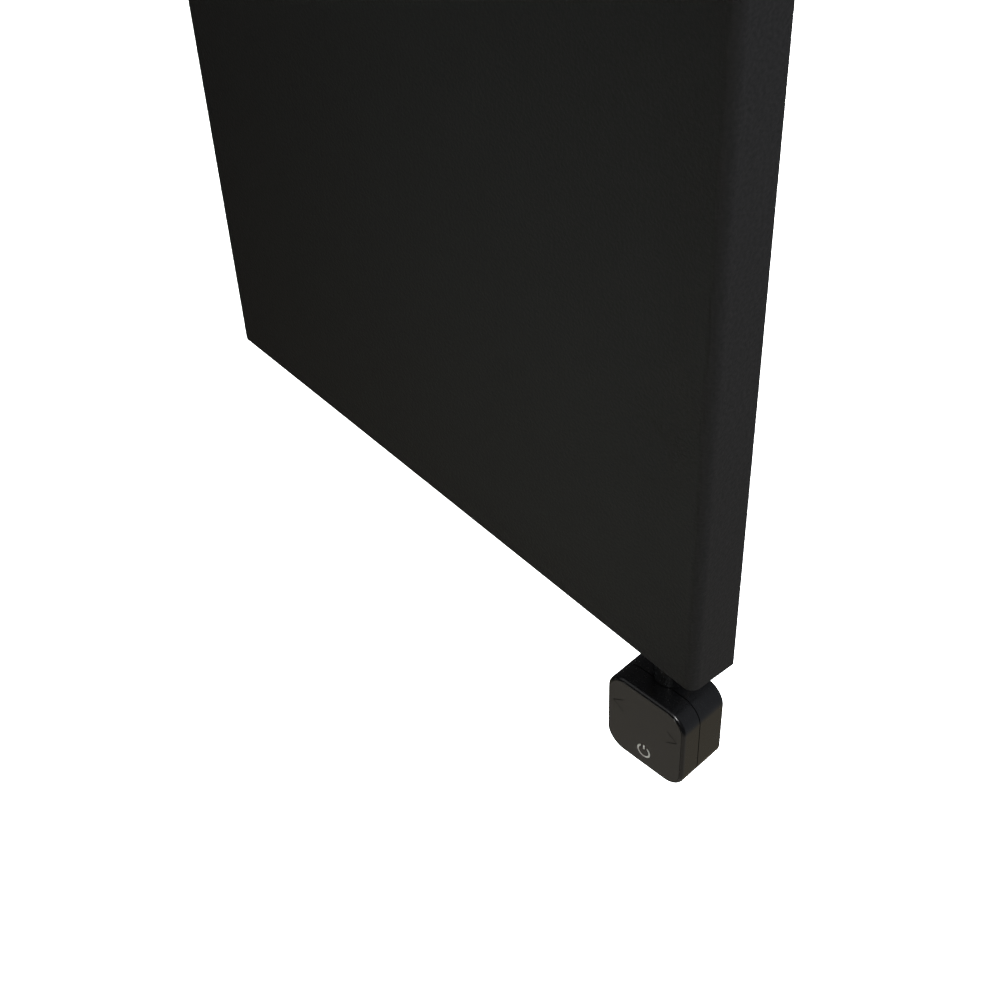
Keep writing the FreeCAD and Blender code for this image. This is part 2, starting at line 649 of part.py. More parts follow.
# Front cover: rim round the face plate, floor behind it, posts for the screws
cover_shell = cut("cover_shell",
                  rounded_block("cover_outside", "0", face_y, f"{cover_back_y} - {face_y}", face_y,
                                "cover_edge"),
                  [rounded_block("cover_recess", "rim_width", f"{face_y} - cut_overrun",
                                 f"{floor_y} - {face_y} + cut_overrun"),
                   rounded_block("cover_inside", "shell_wall", floor_back_y,
                                 f"{cover_back_y} - {floor_back_y} + cut_overrun")])
cover_adds = [cover_shell]
cover_cuts = [cylinder("guide_hole", "guide_radius + screw_clearance", "floor_thickness + 2 * cut_overrun",
                       y=f"{floor_y} - cut_overrun", z="-symbol_drop", along="y")]
for place, (x, z) in screw_places.items():
    cover_adds.append(cylinder(f"cover_shoulder_{place}", "shoulder_diameter / 2",
                               f"{board_front_y} - {floor_y}", x, floor_y, z, "y"))
    cover_adds.append(cylinder(f"cover_post_{place}", "screw_boss_diameter / 2",
                               f"{cover_back_y} - {floor_y}", x, floor_y, z, "y"))
    cover_cuts.append(cylinder(f"cover_pilot_{place}", "screw_diameter / 2 + screw_clearance",
                               "screw_bite + cut_overrun", x, f"{cover_back_y} - screw_bite", z, "y"))
cover_envelope = rounded_block("cover_envelope", "0", face_y, f"{cover_back_y} - {face_y}", face_y,
                               "cover_edge")
cover_blank = fuse("cover_blank", cover_adds)
cover_solid = doc.addObject("Part::Common", "cover_solid")
cover_solid.Base = cover_blank
cover_solid.Tool = cover_envelope
in_head(cut("front_cover", cover_solid, cover_cuts), "front_cover")


def power_symbol(name, grow, y, depth):
    # a ring open at the top with a bar in the opening
    middle_z = "(-symbol_drop)"
    outer = f"symbol_radius + {grow}"
    inner = f"symbol_radius - symbol_stroke - {grow}"
    circle = ring(f"{name}_circle", outer, inner, depth, y=y, z=middle_z, along="y")
    opening = box(f"{name}_opening", (f"-symbol_opening / 2 + {grow}", f"symbol_opening - 2 * {grow}"),
                  (f"{y} - cut_overrun", f"{depth} + 2 * cut_overrun"),
                  (middle_z, "symbol_radius + cut_overrun"))
    bar = box(f"{name}_bar", (f"-symbol_stroke / 2 - {grow}", f"symbol_stroke + 2 * {grow}"), (y, depth),
              (f"{middle_z} + symbol_bar_rise - symbol_bar_length - {grow}",
               f"symbol_bar_length + 2 * {grow}"))
    return [cut(f"{name}_arc", circle, [opening]), bar]


# Face plate: window slots of the power symbol and two moulded arrow grooves
plate_tools = power_symbol("window", "symbol_clearance", f"({face_y} - cut_overrun)",
                           "(face_thickness + 2 * cut_overrun)")
for side, sign in sides.items():
    for turn in ("-arrow_angle", "arrow_angle"):
        groove = box(f"arrow_{side}_{'up' if turn[0] == '-' else 'down'}",
                     (f"{sign} * arrow_reach", "arrow_length"),
                     (f"{face_y} - cut_overrun", "arrow_groove + cut_overrun"),
                     ("-arrow_drop", "arrow_stroke"))
        # the axis it turns about; the angle follows from the sheet
        groove.Placement.Rotation = Rotation(axis_y, 1)
        bind(groove, {"Placement.Rotation.Angle": f"{turn} + 90 * ({sign} + 1)"})
        plate_tools.append(groove)
plate = rounded_block("plate_blank", "rim_width + face_clearance", face_y, "face_thickness")
in_head(cut("face_plate", plate, plate_tools), "face_plate")

# Light guide: the symbol's ridges on a disc that fills the hole in the cover's floor
guide_bits = power_symbol("guide", "0", face_y, f"({floor_y} - {face_y} + floor_thickness / 2)")
guide_bits.append(cylinder("guide_disc", "guide_radius", "floor_thickness + guide_flange", y=floor_y,
                           z="-symbol_drop", along="y"))
guide_bits.append(cylinder("guide_back", "guide_radius + guide_flange", "guide_flange", y=floor_back_y,
                           z="-symbol_drop", along="y"))
in_head(fuse("light_guide", guide_bits), "light_guide")

# Circuit board and what stands on it
board_tools = []
for place, (x, z) in screw_places.items():
    board_tools.append(cylinder(f"board_hole_{place}", "screw_boss_diameter / 2 + screw_clearance",
                                "board_thickness + 2 * cut_overrun", x, f"{board_front_y} - cut_overrun",
                                z, "y"))
board = rounded_block("board_blank", "shell_wall + board_margin", board_front_y, "board_thickness")
in_head(cut("circuit_board", board, board_tools), "circuit_board")
light_chip = box("light_chip", ("-light_width / 2", "light_width"),
                 (f"{board_front_y} - light_height", "light_height"),
                 ("-symbol_drop - light_width / 2", "light_width"))
in_head(group("indicator_light", [light_chip]), "indicator_light")
pads = [ring("power_pad", "guide_radius + guide_flange + turn_gap + pad_wall",
             "guide_radius + guide_flange + turn_gap", "board_standoff", y=floor_back_y, z="-symbol_drop",
             along="y")]
for side, sign in sides.items():
    pads.append(cylinder(f"arrow_pad_{side}", "pad_diameter / 2", "board_standoff",
                         f"{sign} * (arrow_reach - arrow_length / 2)", floor_back_y, "-arrow_drop", "y"))
in_head(group("touch_pads", pads), "touch_pads")
relay_case = box("relay_case", ("-module_shift - relay_width / 2", "relay_width"),
                 (board_back_y, "relay_depth"), ("-module_drop - relay_height", "relay_height"))
in_head(group("relay", [relay_case]), "relay")
terminal_case = box("terminal_case", ("module_shift - terminal_width / 2", "terminal_width"),
                    (board_back_y, "terminal_depth"), ("-module_drop - terminal_height", "terminal_height"))
terminal_holes = []
for side, sign in sides.items():
    terminal_holes.append(cylinder(f"terminal_hole_{side}", "terminal_hole / 2", "terminal_depth",
                                   f"module_shift + {sign} * terminal_width / 4",
                                   f"{board_back_y} + terminal_depth / 2",
                                   "-module_drop - terminal_height / 2", "y"))
in_head(cut("terminal_block", terminal_case, terminal_holes), "terminal_block")
capacitor_can = cylinder("capacitor_can", "capacitor_diameter / 2", "capacitor_length", "module_shift",
                         board_back_y, "-capacitor_drop", "y")
in_head(group("capacitor", [capacitor_can]), "capacitor")

# Seam seal, housing screws and cable gland
seal_outside = rounded_block("seal_outside", "seal_inset", cover_back_y, "seam_gap")
seal_inside = rounded_block("seal_inside", "seal_inset + seal_width", f"{cover_back_y} - cut_overrun",
                            "seam_gap + 2 * cut_overrun")
in_head(cut("seam_seal", seal_outside, [seal_inside]), "seam_seal")
screws = []
screw_seat_y = f"({head_back_y} - screw_sink)"
screw_tip_y = f"({cover_back_y} - screw_bite + screw_clearance)"
for place, (x, z) in screw_places.items():
    head = cylinder(f"screw_head_{place}", "screw_head_diameter / 2", "screw_head_height", x,
                    screw_seat_y, z, "y")
    shank = cylinder(f"screw_shank_{place}", "screw_diameter / 2",
                     f"{screw_seat_y} - {screw_tip_y} + screw_head_height / 2", x, screw_tip_y, z, "y")
    slot_y = (f"{screw_seat_y} + screw_head_height - screw_slot_depth", "screw_slot_depth + cut_overrun")
    across = (f"{x} - screw_slot_length / 2", "screw_slot_length")
    along = (f"{z} - screw_slot_length / 2", "screw_slot_length")
    slot_x = (f"{x} - screw_slot_width / 2", "screw_slot_width")
    slot_z = (f"{z} - screw_slot_width / 2", "screw_slot_width")
    slots = [box(f"screw_cross_{place}", across, slot_y, slot_z),
             box(f"screw_upright_{place}", slot_x, slot_y, along)]
    screws.append(cut(f"screw_{place}", fuse(f"screw_blank_{place}", [head, shank]), slots))
in_head(group("housing_screws", screws), "housing_screws")
gland_outer = "(gland_bore / 2 + gland_wall)"
gland_low_y = f"({head_back_y} - shell_wall - gland_lip)"
gland_length = "(gland_lip + shell_wall + gland_flange)"
gland_solid = fuse("gland_solid", [
    cylinder("gland_barrel", gland_outer, gland_length, y=gland_low_y, z="-gland_drop", along="y"),
    cylinder("gland_flange_disc", f"{gland_outer} + gland_flange_width", "gland_flange", y=head_back_y,
             z="-gland_drop", along="y"),
    cylinder("gland_lip_disc", f"{gland_outer} + gland_lip_width", "gland_lip", y=gland_low_y,
             z="-gland_drop", along="y")])
gland_opening = cylinder("gland_opening", "gland_bore / 2", f"{gland_length} + 2 * cut_overrun",
                         y=f"{gland_low_y} - cut_overrun", z="-gland_drop", along="y")
in_head(cut("cable_gland", gland_solid, [gland_opening]), "cable_gland")

# Every object has to be sound before anything is written
doc.recompute()
for item in doc.Objects:
    if "Invalid" in item.State or "Error" in item.State:
        raise RuntimeError(f"{item.Name} failed: {item.State}")
for item in subparts:
    if item.Shape.isNull() or not item.Shape.isValid() or not item.Shape.Solids:
        raise RuntimeError(f"{item.Label} has no sound solid")

os.makedirs("parts", exist_ok=True)
for item in subparts:
    item.Shape.exportStep(f"parts/{item.Label}.step")
    print(item.Label, len(item.Shape.Solids), round(item.Shape.Volume, 2))
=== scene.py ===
import json
import math

import bmesh
import bpy
from mathutils import Matrix, Vector


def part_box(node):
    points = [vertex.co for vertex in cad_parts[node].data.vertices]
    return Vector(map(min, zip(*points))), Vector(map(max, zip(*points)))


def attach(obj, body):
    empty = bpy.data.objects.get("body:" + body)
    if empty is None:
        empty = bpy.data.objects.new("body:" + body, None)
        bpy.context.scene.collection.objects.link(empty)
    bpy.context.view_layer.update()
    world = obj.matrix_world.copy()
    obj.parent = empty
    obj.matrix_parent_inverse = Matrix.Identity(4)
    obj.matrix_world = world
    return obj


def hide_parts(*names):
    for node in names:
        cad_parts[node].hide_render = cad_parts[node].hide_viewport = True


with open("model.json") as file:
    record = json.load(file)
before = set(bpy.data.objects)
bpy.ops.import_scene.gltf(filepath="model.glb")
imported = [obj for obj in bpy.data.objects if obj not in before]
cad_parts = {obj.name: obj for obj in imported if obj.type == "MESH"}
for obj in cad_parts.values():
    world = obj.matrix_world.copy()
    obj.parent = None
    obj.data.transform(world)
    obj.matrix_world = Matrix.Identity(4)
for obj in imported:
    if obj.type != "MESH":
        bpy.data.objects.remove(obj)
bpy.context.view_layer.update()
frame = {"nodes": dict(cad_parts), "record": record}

nodes = frame["nodes"]
mm = 0.001
over = 1   # how far a cutting tool stands out of what it cuts, in millimetres
close = 0.01   # points this near a line or face, in millimetres, lie on it
facing = 0.9   # a normal with this much of an axis faces along it
print("frame loaded:", len(nodes), "nodes")


# small tools for modelling

def clearHands():
    if bpy.context.object and bpy.context.object.mode != "OBJECT":
        bpy.ops.object.mode_set(mode="OBJECT")
    bpy.ops.object.select_all(action="DESELECT")


def takeUp(piece):
    clearHands()
    piece.select_set(True)
    bpy.context.view_layer.objects.active = piece


def settle(piece, name):
    # the place and size go into the mesh
    piece.name = name
    piece.data.name = name
    bpy.ops.object.transform_apply(location=True, rotation=True, scale=True)
    return piece


def addBlock(name, low, high):
    clearHands()
    middle = [(a + b) / 2 * mm for a, b in zip(low, high)]
    span = [(b - a) * mm for a, b in zip(low, high)]
    bpy.ops.mesh.primitive_cube_add(size=1, location=middle, scale=span)
    return settle(bpy.context.object, name)


def addRod(name, radius, start, end, sides=64):
    # a round bar between two points, in millimetres
    clearHands()
    a = Vector(start) * mm
    b = Vector(end) * mm
    turn = (b - a).to_track_quat("Z", "Y").to_euler()
    bpy.ops.mesh.primitive_cylinder_add(vertices=sides, radius=radius * mm, depth=(b - a).length,
                                        location=(a + b) / 2, rotation=turn)
    return settle(bpy.context.object, name)


def pickFaces(piece, test):
    # selects faces by their normal and middle (mm), in edit mode
    takeUp(piece)
    bpy.ops.object.mode_set(mode="EDIT")
    bpy.ops.mesh.select_mode(type="FACE")
    bpy.ops.mesh.select_all(action="DESELECT")
    shell = bmesh.from_edit_mesh(piece.data)
    for face in shell.faces:
        face.select_set(bool(test(face.normal, face.calc_center_median() / mm)))
    shell.select_flush_mode()
    bmesh.update_edit_mesh(piece.data)


def pickEdges(piece, test):
    # selects edges by their two ends (mm), in edit mode
    takeUp(piece)
    bpy.ops.object.mode_set(mode="EDIT")
    bpy.ops.mesh.select_mode(type="EDGE")
    bpy.ops.mesh.select_all(action="DESELECT")
    shell = bmesh.from_edit_mesh(piece.data)
    for edge in shell.edges:
        edge.select_set(bool(test(edge.verts[0].co / mm, edge.verts[1].co / mm)))
    shell.select_flush_mode()
    bmesh.update_edit_mesh(piece.data)


def pickPoints(piece, test):
    # selects points by their place (mm), in edit mode
    takeUp(piece)
    bpy.ops.object.mode_set(mode="EDIT")
    bpy.ops.mesh.select_mode(type="VERT")
    bpy.ops.mesh.select_all(action="DESELECT")
    shell = bmesh.from_edit_mesh(piece.data)
    for point in shell.verts:
        point.select_set(bool(test(point.co / mm)))
    shell.select_flush_mode()
    bmesh.update_edit_mesh(piece.data)


def roundPicked(radius, steps):
    bpy.ops.mesh.bevel(offset=radius * mm, offset_type="OFFSET", segments=steps, profile=0.5,
                       affect="EDGES", clamp_overlap=False)
    bpy.ops.object.mode_set(mode="OBJECT")


def carve(piece, tools):
    # cuts the tools out of the piece and throws them away
    for tool in tools:
        takeUp(piece)
        bpy.ops.object.modifier_add(type="BOOLEAN")
        cutter = piece.modifiers[-1]
        cutter.operation = "DIFFERENCE"
        cutter.solver = "EXACT"
        cutter.object = tool
        bpy.ops.object.modifier_apply(modifier=cutter.name)
        bpy.data.objects.remove(tool)


def join(name, pieces):
    clearHands()
    for piece in pieces:
        piece.select_set(True)
    bpy.context.view_layer.objects.active = pieces[0]
    bpy.ops.object.join()
    pieces[0].name = name
    return pieces[0]


def softenEdges(piece, width, steps=2, angle=40):
    # a small round on every sharp edge
    takeUp(piece)
    bpy.ops.object.modifier_add(type="BEVEL")
    edge = piece.modifiers[-1]
    edge.width = width * mm
    edge.segments = steps
    edge.limit_method = "ANGLE"
    edge.angle_limit = math.radians(angle)
    edge.miter_outer = "MITER_ARC"
    edge.use_clamp_overlap = True
    bpy.ops.object.modifier_apply(modifier=edge.name)


def smoothOver(piece, angle=35):
    takeUp(piece)
    bpy.ops.object.shade_smooth_by_angle(angle=math.radians(angle))
    bpy.ops.object.modifier_add(type="WEIGHTED_NORMAL")
    weigh = piece.modifiers[-1]
    weigh.keep_sharp = True
    bpy.ops.object.modifier_apply(modifier=weigh.name)


def moveTo(piece, place, turn=(0, 0, 0)):
    # turns it in degrees about the origin, then carries it to its place in millimetres
    takeUp(piece)
    piece.rotation_euler = [math.radians(angle) for angle in turn]
    piece.location = [c * mm for c in place]
    bpy.ops.object.transform_apply(location=True, rotation=True, scale=True)
    return piece


def copyOf(piece, name, shift=(0, 0, 0)):
    takeUp(piece)
    bpy.ops.object.duplicate(linked=False)
    twin = settle(bpy.context.object, name)
    return moveTo(twin, shift)


def turned(name, outline, sides=64, ring=False):
    # drawn out of a circle, step by step, along an outline of (radius, height) points
    clearHands()
    radius, height = outline[0]
    bpy.ops.mesh.primitive_circle_add(vertices=sides, radius=radius * mm, location=(0, 0, height * mm))
    piece = settle(bpy.context.object, name)
    bpy.ops.object.mode_set(mode="EDIT")
    bpy.ops.mesh.select_mode(type="VERT")
    bpy.ops.mesh.select_all(action="SELECT")
    for nextRadius, nextHeight in outline[1:] + (outline[:1] if ring else []):
        rise = (nextHeight - height) * mm
        grow = nextRadius / radius
        bpy.ops.mesh.extrude_region_move(TRANSFORM_OT_translate={"value": (0, 0, rise)})
        bpy.ops.transform.resize(value=(grow, grow, 1), center_override=(0, 0, nextHeight * mm))
        radius, height = nextRadius, nextHeight
    bpy.ops.mesh.select_all(action="SELECT")
    if ring:   # the last row lies on the first
        bpy.ops.mesh.remove_doubles(threshold=close / 10 * mm)
    else:
        bpy.ops.mesh.fill_holes(sides=0)
    bpy.ops.mesh.select_all(action="SELECT")
    bpy.ops.mesh.normals_make_consistent(inside=False)
    bpy.ops.object.mode_set(mode="OBJECT")
    return piece


def foldedStrip(name, middle, width, path, folds, sheet, outside, steps=8):
    # a strip of sheet bent along a path of (y, z) points; outside tells which face the path runs on
    (startY, startZ), (_, endZ) = path[:2]
    clearHands()
    bpy.ops.mesh.primitive_plane_add(size=1, rotation=(math.pi / 2, 0, 0),
                                     location=(middle * mm, startY * mm, (startZ + endZ) / 2 * mm))
    bpy.context.object.scale = (width * mm, (endZ - startZ) * mm, 1)
    piece = settle(bpy.context.object, name)
    pickEdges(piece, lambda a, b: min(a.z, b.z) > endZ - close)
    for (fromY, fromZ), (toY, toZ) in zip(path[1:], path[2:]):
        step = (0, (toY - fromY) * mm, (toZ - fromZ) * mm)
        bpy.ops.mesh.extrude_region_move(TRANSFORM_OT_translate={"value": step})
    bpy.ops.object.mode_set(mode="OBJECT")
    for (foldY, foldZ), radius in zip(path[1:-1], folds):
        corner = Vector((0, foldY, foldZ))
        pickEdges(piece, lambda a, b: max((a - corner).yz.length, (b - corner).yz.length) < close)
        roundPicked(radius, steps)
    takeUp(piece)
    bpy.ops.object.modifier_add(type="SOLIDIFY")
    wall = piece.modifiers[-1]
    wall.thickness = sheet * mm
    wall.offset = -1 if outside else 1
    wall.use_even_offset = True
    bpy.ops.object.modifier_apply(modifier=wall.name)
    bpy.ops.object.mode_set(mode="EDIT")
    bpy.ops.mesh.select_all(action="SELECT")
    bpy.ops.mesh.normals_make_consistent(inside=False)
    bpy.ops.object.mode_set(mode="OBJECT")
    return piece


def boxOf(node):
    # a CAD node's lowest and highest corners in millimetres
    low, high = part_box(node)
    return Vector(low) / mm, Vector(high) / mm


def pieceName(node):
    # hanger_lug_lower_left becomes hangerLugLowerLeft
    first, *rest = node.split("_")
    return first + "".join(word.title() for word in rest)


def handOver(piece, body, slotName, replaced=()):
    clearHands()
    piece.data.materials.clear()
    piece.data.materials.append(finishes[slotName])
    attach(piece, body)
    if replaced:
        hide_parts(*replaced)
    return piece


# materials

def hexColour(code):
    # sRGB hex to linear
    parts = [int(code[i:i + 2], 16) / 255 for i in (1, 3, 5)]
    return [c / 12.92 if c <= 0.04045 else ((c + 0.055) / 1.055) ** 2.4 for c in parts] + [1]


def perMetre(sizeMm):
    # texture scale for a pattern whose grain is this many millimetres
    return 1 / (sizeMm * mm)


def addNode(tree, kind, links=None, **settings):
    # one node: inputs sets its sockets, ramp its colour stops, links feeds it from other nodes
    node = tree.nodes.new(kind)
    for key, value in settings.items():
        if key == "inputs":
            for socket, amount in value.items():
                node.inputs[socket].default_value = amount
        elif key == "ramp":
            stops = node.color_ramp.elements
            while len(stops) < len(value):
                stops.new(0.5)
            for stop, (at, colour) in zip(stops, value):
                stop.position = at
                stop.color = colour
        else:
            setattr(node, key, value)
    for socket, source in (links or {}).items():
        tree.links.new(source, node.inputs[socket])
    return node


def newMaterial(name, **shader):
    material = bpy.data.materials.new(name)
    material.use_nodes = True
    tree = material.node_tree
    tree.nodes.clear()
    surface = addNode(tree, "ShaderNodeBsdfPrincipled", inputs=shader)
    addNode(tree, "ShaderNodeOutputMaterial", {"Surface": surface.outputs["BSDF"]})
    where = addNode(tree, "ShaderNodeTexCoord").outputs["Object"]
    return material, tree, surface, where


def grey(amount):
    return (amount, amount, amount, 1)


def powderCoat():
    # polyester powder coat, sprayed and baked on steel: fine matt grain over a faint orange peel
    look = {"light": "#1a1918", "dark": "#121211", "grainMm": 1.8, "peelMm": 5.0, "cloudMm": 90.0}
    # the real grain is about 0.3 mm; drawn six times as coarse so that it shows
    material, tree, surface, where = newMaterial("matt_black_powder_coat", **{
        "IOR": 1.5, "Specular IOR Level": 0.2})
    grain = addNode(tree, "ShaderNodeTexNoise", {"Vector": where},
                    inputs={"Scale": perMetre(look["grainMm"]), "Detail": 3, "Roughness": 0.6})
    peel = addNode(tree, "ShaderNodeTexNoise", {"Vector": where},
                   inputs={"Scale": perMetre(look["peelMm"]), "Detail": 2})
    cloud = addNode(tree, "ShaderNodeTexNoise", {"Vector": where},
                    inputs={"Scale": perMetre(look["cloudMm"]), "Detail": 3})
    colour = addNode(tree, "ShaderNodeValToRGB", {"Fac": grain.outputs["Fac"]},
                     ramp=[(0.3, hexColour(look["dark"])), (0.7, hexColour(look["light"]))])
    tree.links.new(colour.outputs["Color"], surface.inputs["Base Color"])
    rough = addNode(tree, "ShaderNodeMapRange", {"Value": cloud.outputs["Fac"]},
                    inputs={"To Min": 0.53, "To Max": 0.59})
    tree.links.new(rough.outputs["Result"], surface.inputs["Roughness"])
    wave = addNode(tree, "ShaderNodeBump", {"Height": peel.outputs["Fac"]},
                   inputs={"Strength": 0.08, "Distance": 0.0004})
    bump = addNode(tree, "ShaderNodeBump",
                   {"Height": grain.outputs["Fac"], "Normal": wave.outputs["Normal"]},
                   inputs={"Strength": 0.5, "Distance": 0.0005})
    tree.links.new(bump.outputs["Normal"], surface.inputs["Normal"])
    return material


def glossAbs():
    # ABS moulded in a polished tool: deep black gloss, slow ripples and hair-fine rubbing marks
    look = {"light": "#0a0a0a", "dark": "#060606", "rippleMm": 11.0, "rubMm": 1.6}
    material, tree, surface, where = newMaterial("gloss_black_abs", IOR=1.53)
    ripple = addNode(tree, "ShaderNodeTexNoise", {"Vector": where},
                     inputs={"Scale": perMetre(look["rippleMm"]), "Detail": 2})
    stretched = addNode(tree, "ShaderNodeMapping", {"Vector": where},
                        inputs={"Scale": (1, 1, 0.15), "Rotation": (0.3, 0.2, 0.5)})
    rub = addNode(tree, "ShaderNodeTexNoise", {"Vector": stretched.outputs["Vector"]},
                  inputs={"Scale": perMetre(look["rubMm"]), "Detail": 4, "Roughness": 0.65})
    colour = addNode(tree, "ShaderNodeValToRGB", {"Fac": rub.outputs["Fac"]},
                     ramp=[(0.3, hexColour(look["dark"])), (0.7, hexColour(look["light"]))])
    tree.links.new(colour.outputs["Color"], surface.inputs["Base Color"])
    rough = addNode(tree, "ShaderNodeMapRange", {"Value": rub.outputs["Fac"]},
                    inputs={"From Min": 0.3, "From Max": 0.75, "To Min": 0.2, "To Max": 0.3})
    tree.links.new(rough.outputs["Result"], surface.inputs["Roughness"])
    bump = addNode(tree, "ShaderNodeBump", {"Height": ripple.outputs["Fac"]},
                   inputs={"Strength": 0.05, "Distance": 0.0004})
    tree.links.new(bump.outputs["Normal"], surface.inputs["Normal"])
    return material


def blackLens():
    # acrylic face plate printed black behind: smooth, a little warmer than the shells, faint wipe marks
    look = {"light": "#0d0c0b", "dark": "#090808", "wipeMm": 4.0}
    material, tree, surface, where = newMaterial("black_acrylic_lens", IOR=1.49)
    slanted = addNode(tree, "ShaderNodeMapping", {"Vector": where},
                      inputs={"Scale": (0.3, 1, 1), "Rotation": (0, 0.6, 0)})
    wipe = addNode(tree, "ShaderNodeTexNoise", {"Vector": slanted.outputs["Vector"]},
                   inputs={"Scale": perMetre(look["wipeMm"]), "Detail": 5, "Roughness": 0.6})
    colour = addNode(tree, "ShaderNodeValToRGB", {"Fac": wipe.outputs["Fac"]},
                     ramp=[(0.3, hexColour(look["dark"])), (0.7, hexColour(look["light"]))])
    tree.links.new(colour.outputs["Color"], surface.inputs["Base Color"])
    rough = addNode(tree, "ShaderNodeMapRange", {"Value": wipe.outputs["Fac"]},
                    inputs={"From Min": 0.3, "From Max": 0.75, "To Min": 0.12, "To Max": 0.22})
    tree.links.new(rough.outputs["Result"], surface.inputs["Roughness"])
    return material


def milkWindow():
    # diffusing polycarbonate light guide: milky, unlit, so it shows a soft pale grey
    look = {"light": "#b6b3ad", "dark": "#a29f98", "cloudMm": 1.5}
    material, tree, surface, where = newMaterial("milk_white_polycarbonate", IOR=1.58, Roughness=0.35)
    cloud = addNode(tree, "ShaderNodeTexNoise", {"Vector": where},
                    inputs={"Scale": perMetre(look["cloudMm"]), "Detail": 3})
    colour = addNode(tree, "ShaderNodeValToRGB", {"Fac": cloud.outputs["Fac"]},
                     ramp=[(0.3, hexColour(look["dark"])), (0.7, hexColour(look["light"]))])
    tree.links.new(colour.outputs["Color"], surface.inputs["Base Color"])
    return material


def platedBrass():
    # nickel-plated turned brass: soft shine with fine turning rings
    look = {"light": "#c9c3b6", "dark": "#a59e90", "ringMm": 0.5, "bandRate": 20, "stainMm": 6.0}
    # the real rings are about 0.5 mm apart; drawn six times as coarse so that they show
    material, tree, surface, where = newMaterial("nickel_plated_brass", Metallic=1)
    rings = addNode(tree, "ShaderNodeTexWave", {"Vector": where}, wave_type="BANDS", bands_direction="Z",
                    inputs={"Scale": perMetre(look["ringMm"]) / look["bandRate"],
                            "Distortion": 1.5, "Detail": 2})
    stain = addNode(tree, "ShaderNodeTexNoise", {"Vector": where},
                    inputs={"Scale": perMetre(look["stainMm"]), "Detail": 4})
    colour = addNode(tree, "ShaderNodeValToRGB", {"Fac": stain.outputs["Fac"]},
                     ramp=[(0.3, hexColour(look["dark"])), (0.7, hexColour(look["light"]))])
    tree.links.new(colour.outputs["Color"], surface.inputs["Base Color"])
    rough = addNode(tree, "ShaderNodeMapRange", {"Value": stain.outputs["Fac"]},
                    inputs={"To Min": 0.22, "To Max": 0.38})
    tree.links.new(rough.outputs["Result"], surface.inputs["Roughness"])
    bump = addNode(tree, "ShaderNodeBump", {"Height": rings.outputs["Fac"]},
                   inputs={"Strength": 0.12, "Distance": 0.00005})
    tree.links.new(bump.outputs["Normal"], surface.inputs["Normal"])
    return material


def brightSteel():
    # drawn stainless steel: cool, with fine lengthwise draw marks
    look = {"light": "#bfc1c2", "dark": "#95989a", "drawMm": 0.4}
    material, tree, surface, where = newMaterial("drawn_stainless_steel", Metallic=1)
    drawn = addNode(tree, "ShaderNodeMapping", {"Vector": where}, inputs={"Scale": (1, 1, 0.04)})
    marks = addNode(tree, "ShaderNodeTexNoise", {"Vector": drawn.outputs["Vector"]},
                    inputs={"Scale": perMetre(look["drawMm"]), "Detail": 4})
    colour = addNode(tree, "ShaderNodeValToRGB", {"Fac": marks.outputs["Fac"]},
                     ramp=[(0.3, hexColour(look["dark"])), (0.7, hexColour(look["light"]))])
    tree.links.new(colour.outputs["Color"], surface.inputs["Base Color"])
    rough = addNode(tree, "ShaderNodeMapRange", {"Value": marks.outputs["Fac"]},
                    inputs={"To Min": 0.2, "To Max": 0.42})
    tree.links.new(rough.outputs["Result"], surface.inputs["Roughness"])
    return material


def mouldedRubber():
    # EPDM rubber: dull black with a dusty bloom and a fine grain
    look = {"light": "#211f1e", "dark": "#151414", "grainMm": 0.35, "bloomMm": 7.0}
    material, tree, surface, where = newMaterial("epdm_rubber", **{
        "IOR": 1.5, "Specular IOR Level": 0.3})
    grain = addNode(tree, "ShaderNodeTexNoise", {"Vector": where},
                    inputs={"Scale": perMetre(look["grainMm"]), "Detail": 3})
    bloom = addNode(tree, "ShaderNodeTexNoise", {"Vector": where},
                    inputs={"Scale": perMetre(look["bloomMm"]), "Detail": 4})
    colour = addNode(tree, "ShaderNodeValToRGB", {"Fac": bloom.outputs["Fac"]},
                     ramp=[(0.3, hexColour(look["dark"])), (0.75, hexColour(look["light"]))])
    tree.links.new(colour.outputs["Color"], surface.inputs["Base Color"])
    rough = addNode(tree, "ShaderNodeMapRange", {"Value": bloom.outputs["Fac"]},
                    inputs={"To Min": 0.6, "To Max": 0.8})
    tree.links.new(rough.outputs["Result"], surface.inputs["Roughness"])
    bump = addNode(tree, "ShaderNodeBump", {"Height": grain.outputs["Fac"]},
                   inputs={"Strength": 0.2, "Distance": 0.0001})
    tree.links.new(bump.outputs["Normal"], surface.inputs["Normal"])
    return material


def grainedFinish(name, light, dark, grainMm, roughness):
    # a surface with an even fine grain: broken highlights and a soft sheen
    material, tree, surface, where = newMaterial(name, **{"IOR": 1.53, "Specular IOR Level": 0.45})
    grain = addNode(tree, "ShaderNodeTexNoise", {"Vector": where},
                    inputs={"Scale": perMetre(grainMm), "Detail": 3, "Roughness": 0.6})
    colour = addNode(tree, "ShaderNodeValToRGB", {"Fac": grain.outputs["Fac"]},
                     ramp=[(0.3, hexColour(dark)), (0.7, hexColour(light))])
    tree.links.new(colour.outputs["Color"], surface.inputs["Base Color"])
    rough = addNode(tree, "ShaderNodeMapRange", {"Value": grain.outputs["Fac"]},
                    inputs={"To Min": roughness - 0.08, "To Max": roughness + 0.08})
    tree.links.new(rough.outputs["Result"], surface.inputs["Roughness"])
    bump = addNode(tree, "ShaderNodeBump", {"Height": grain.outputs["Fac"]},
                   inputs={"Strength": 0.15, "Distance": 0.0001})
    tree.links.new(bump.outputs["Normal"], surface.inputs["Normal"])
    return material


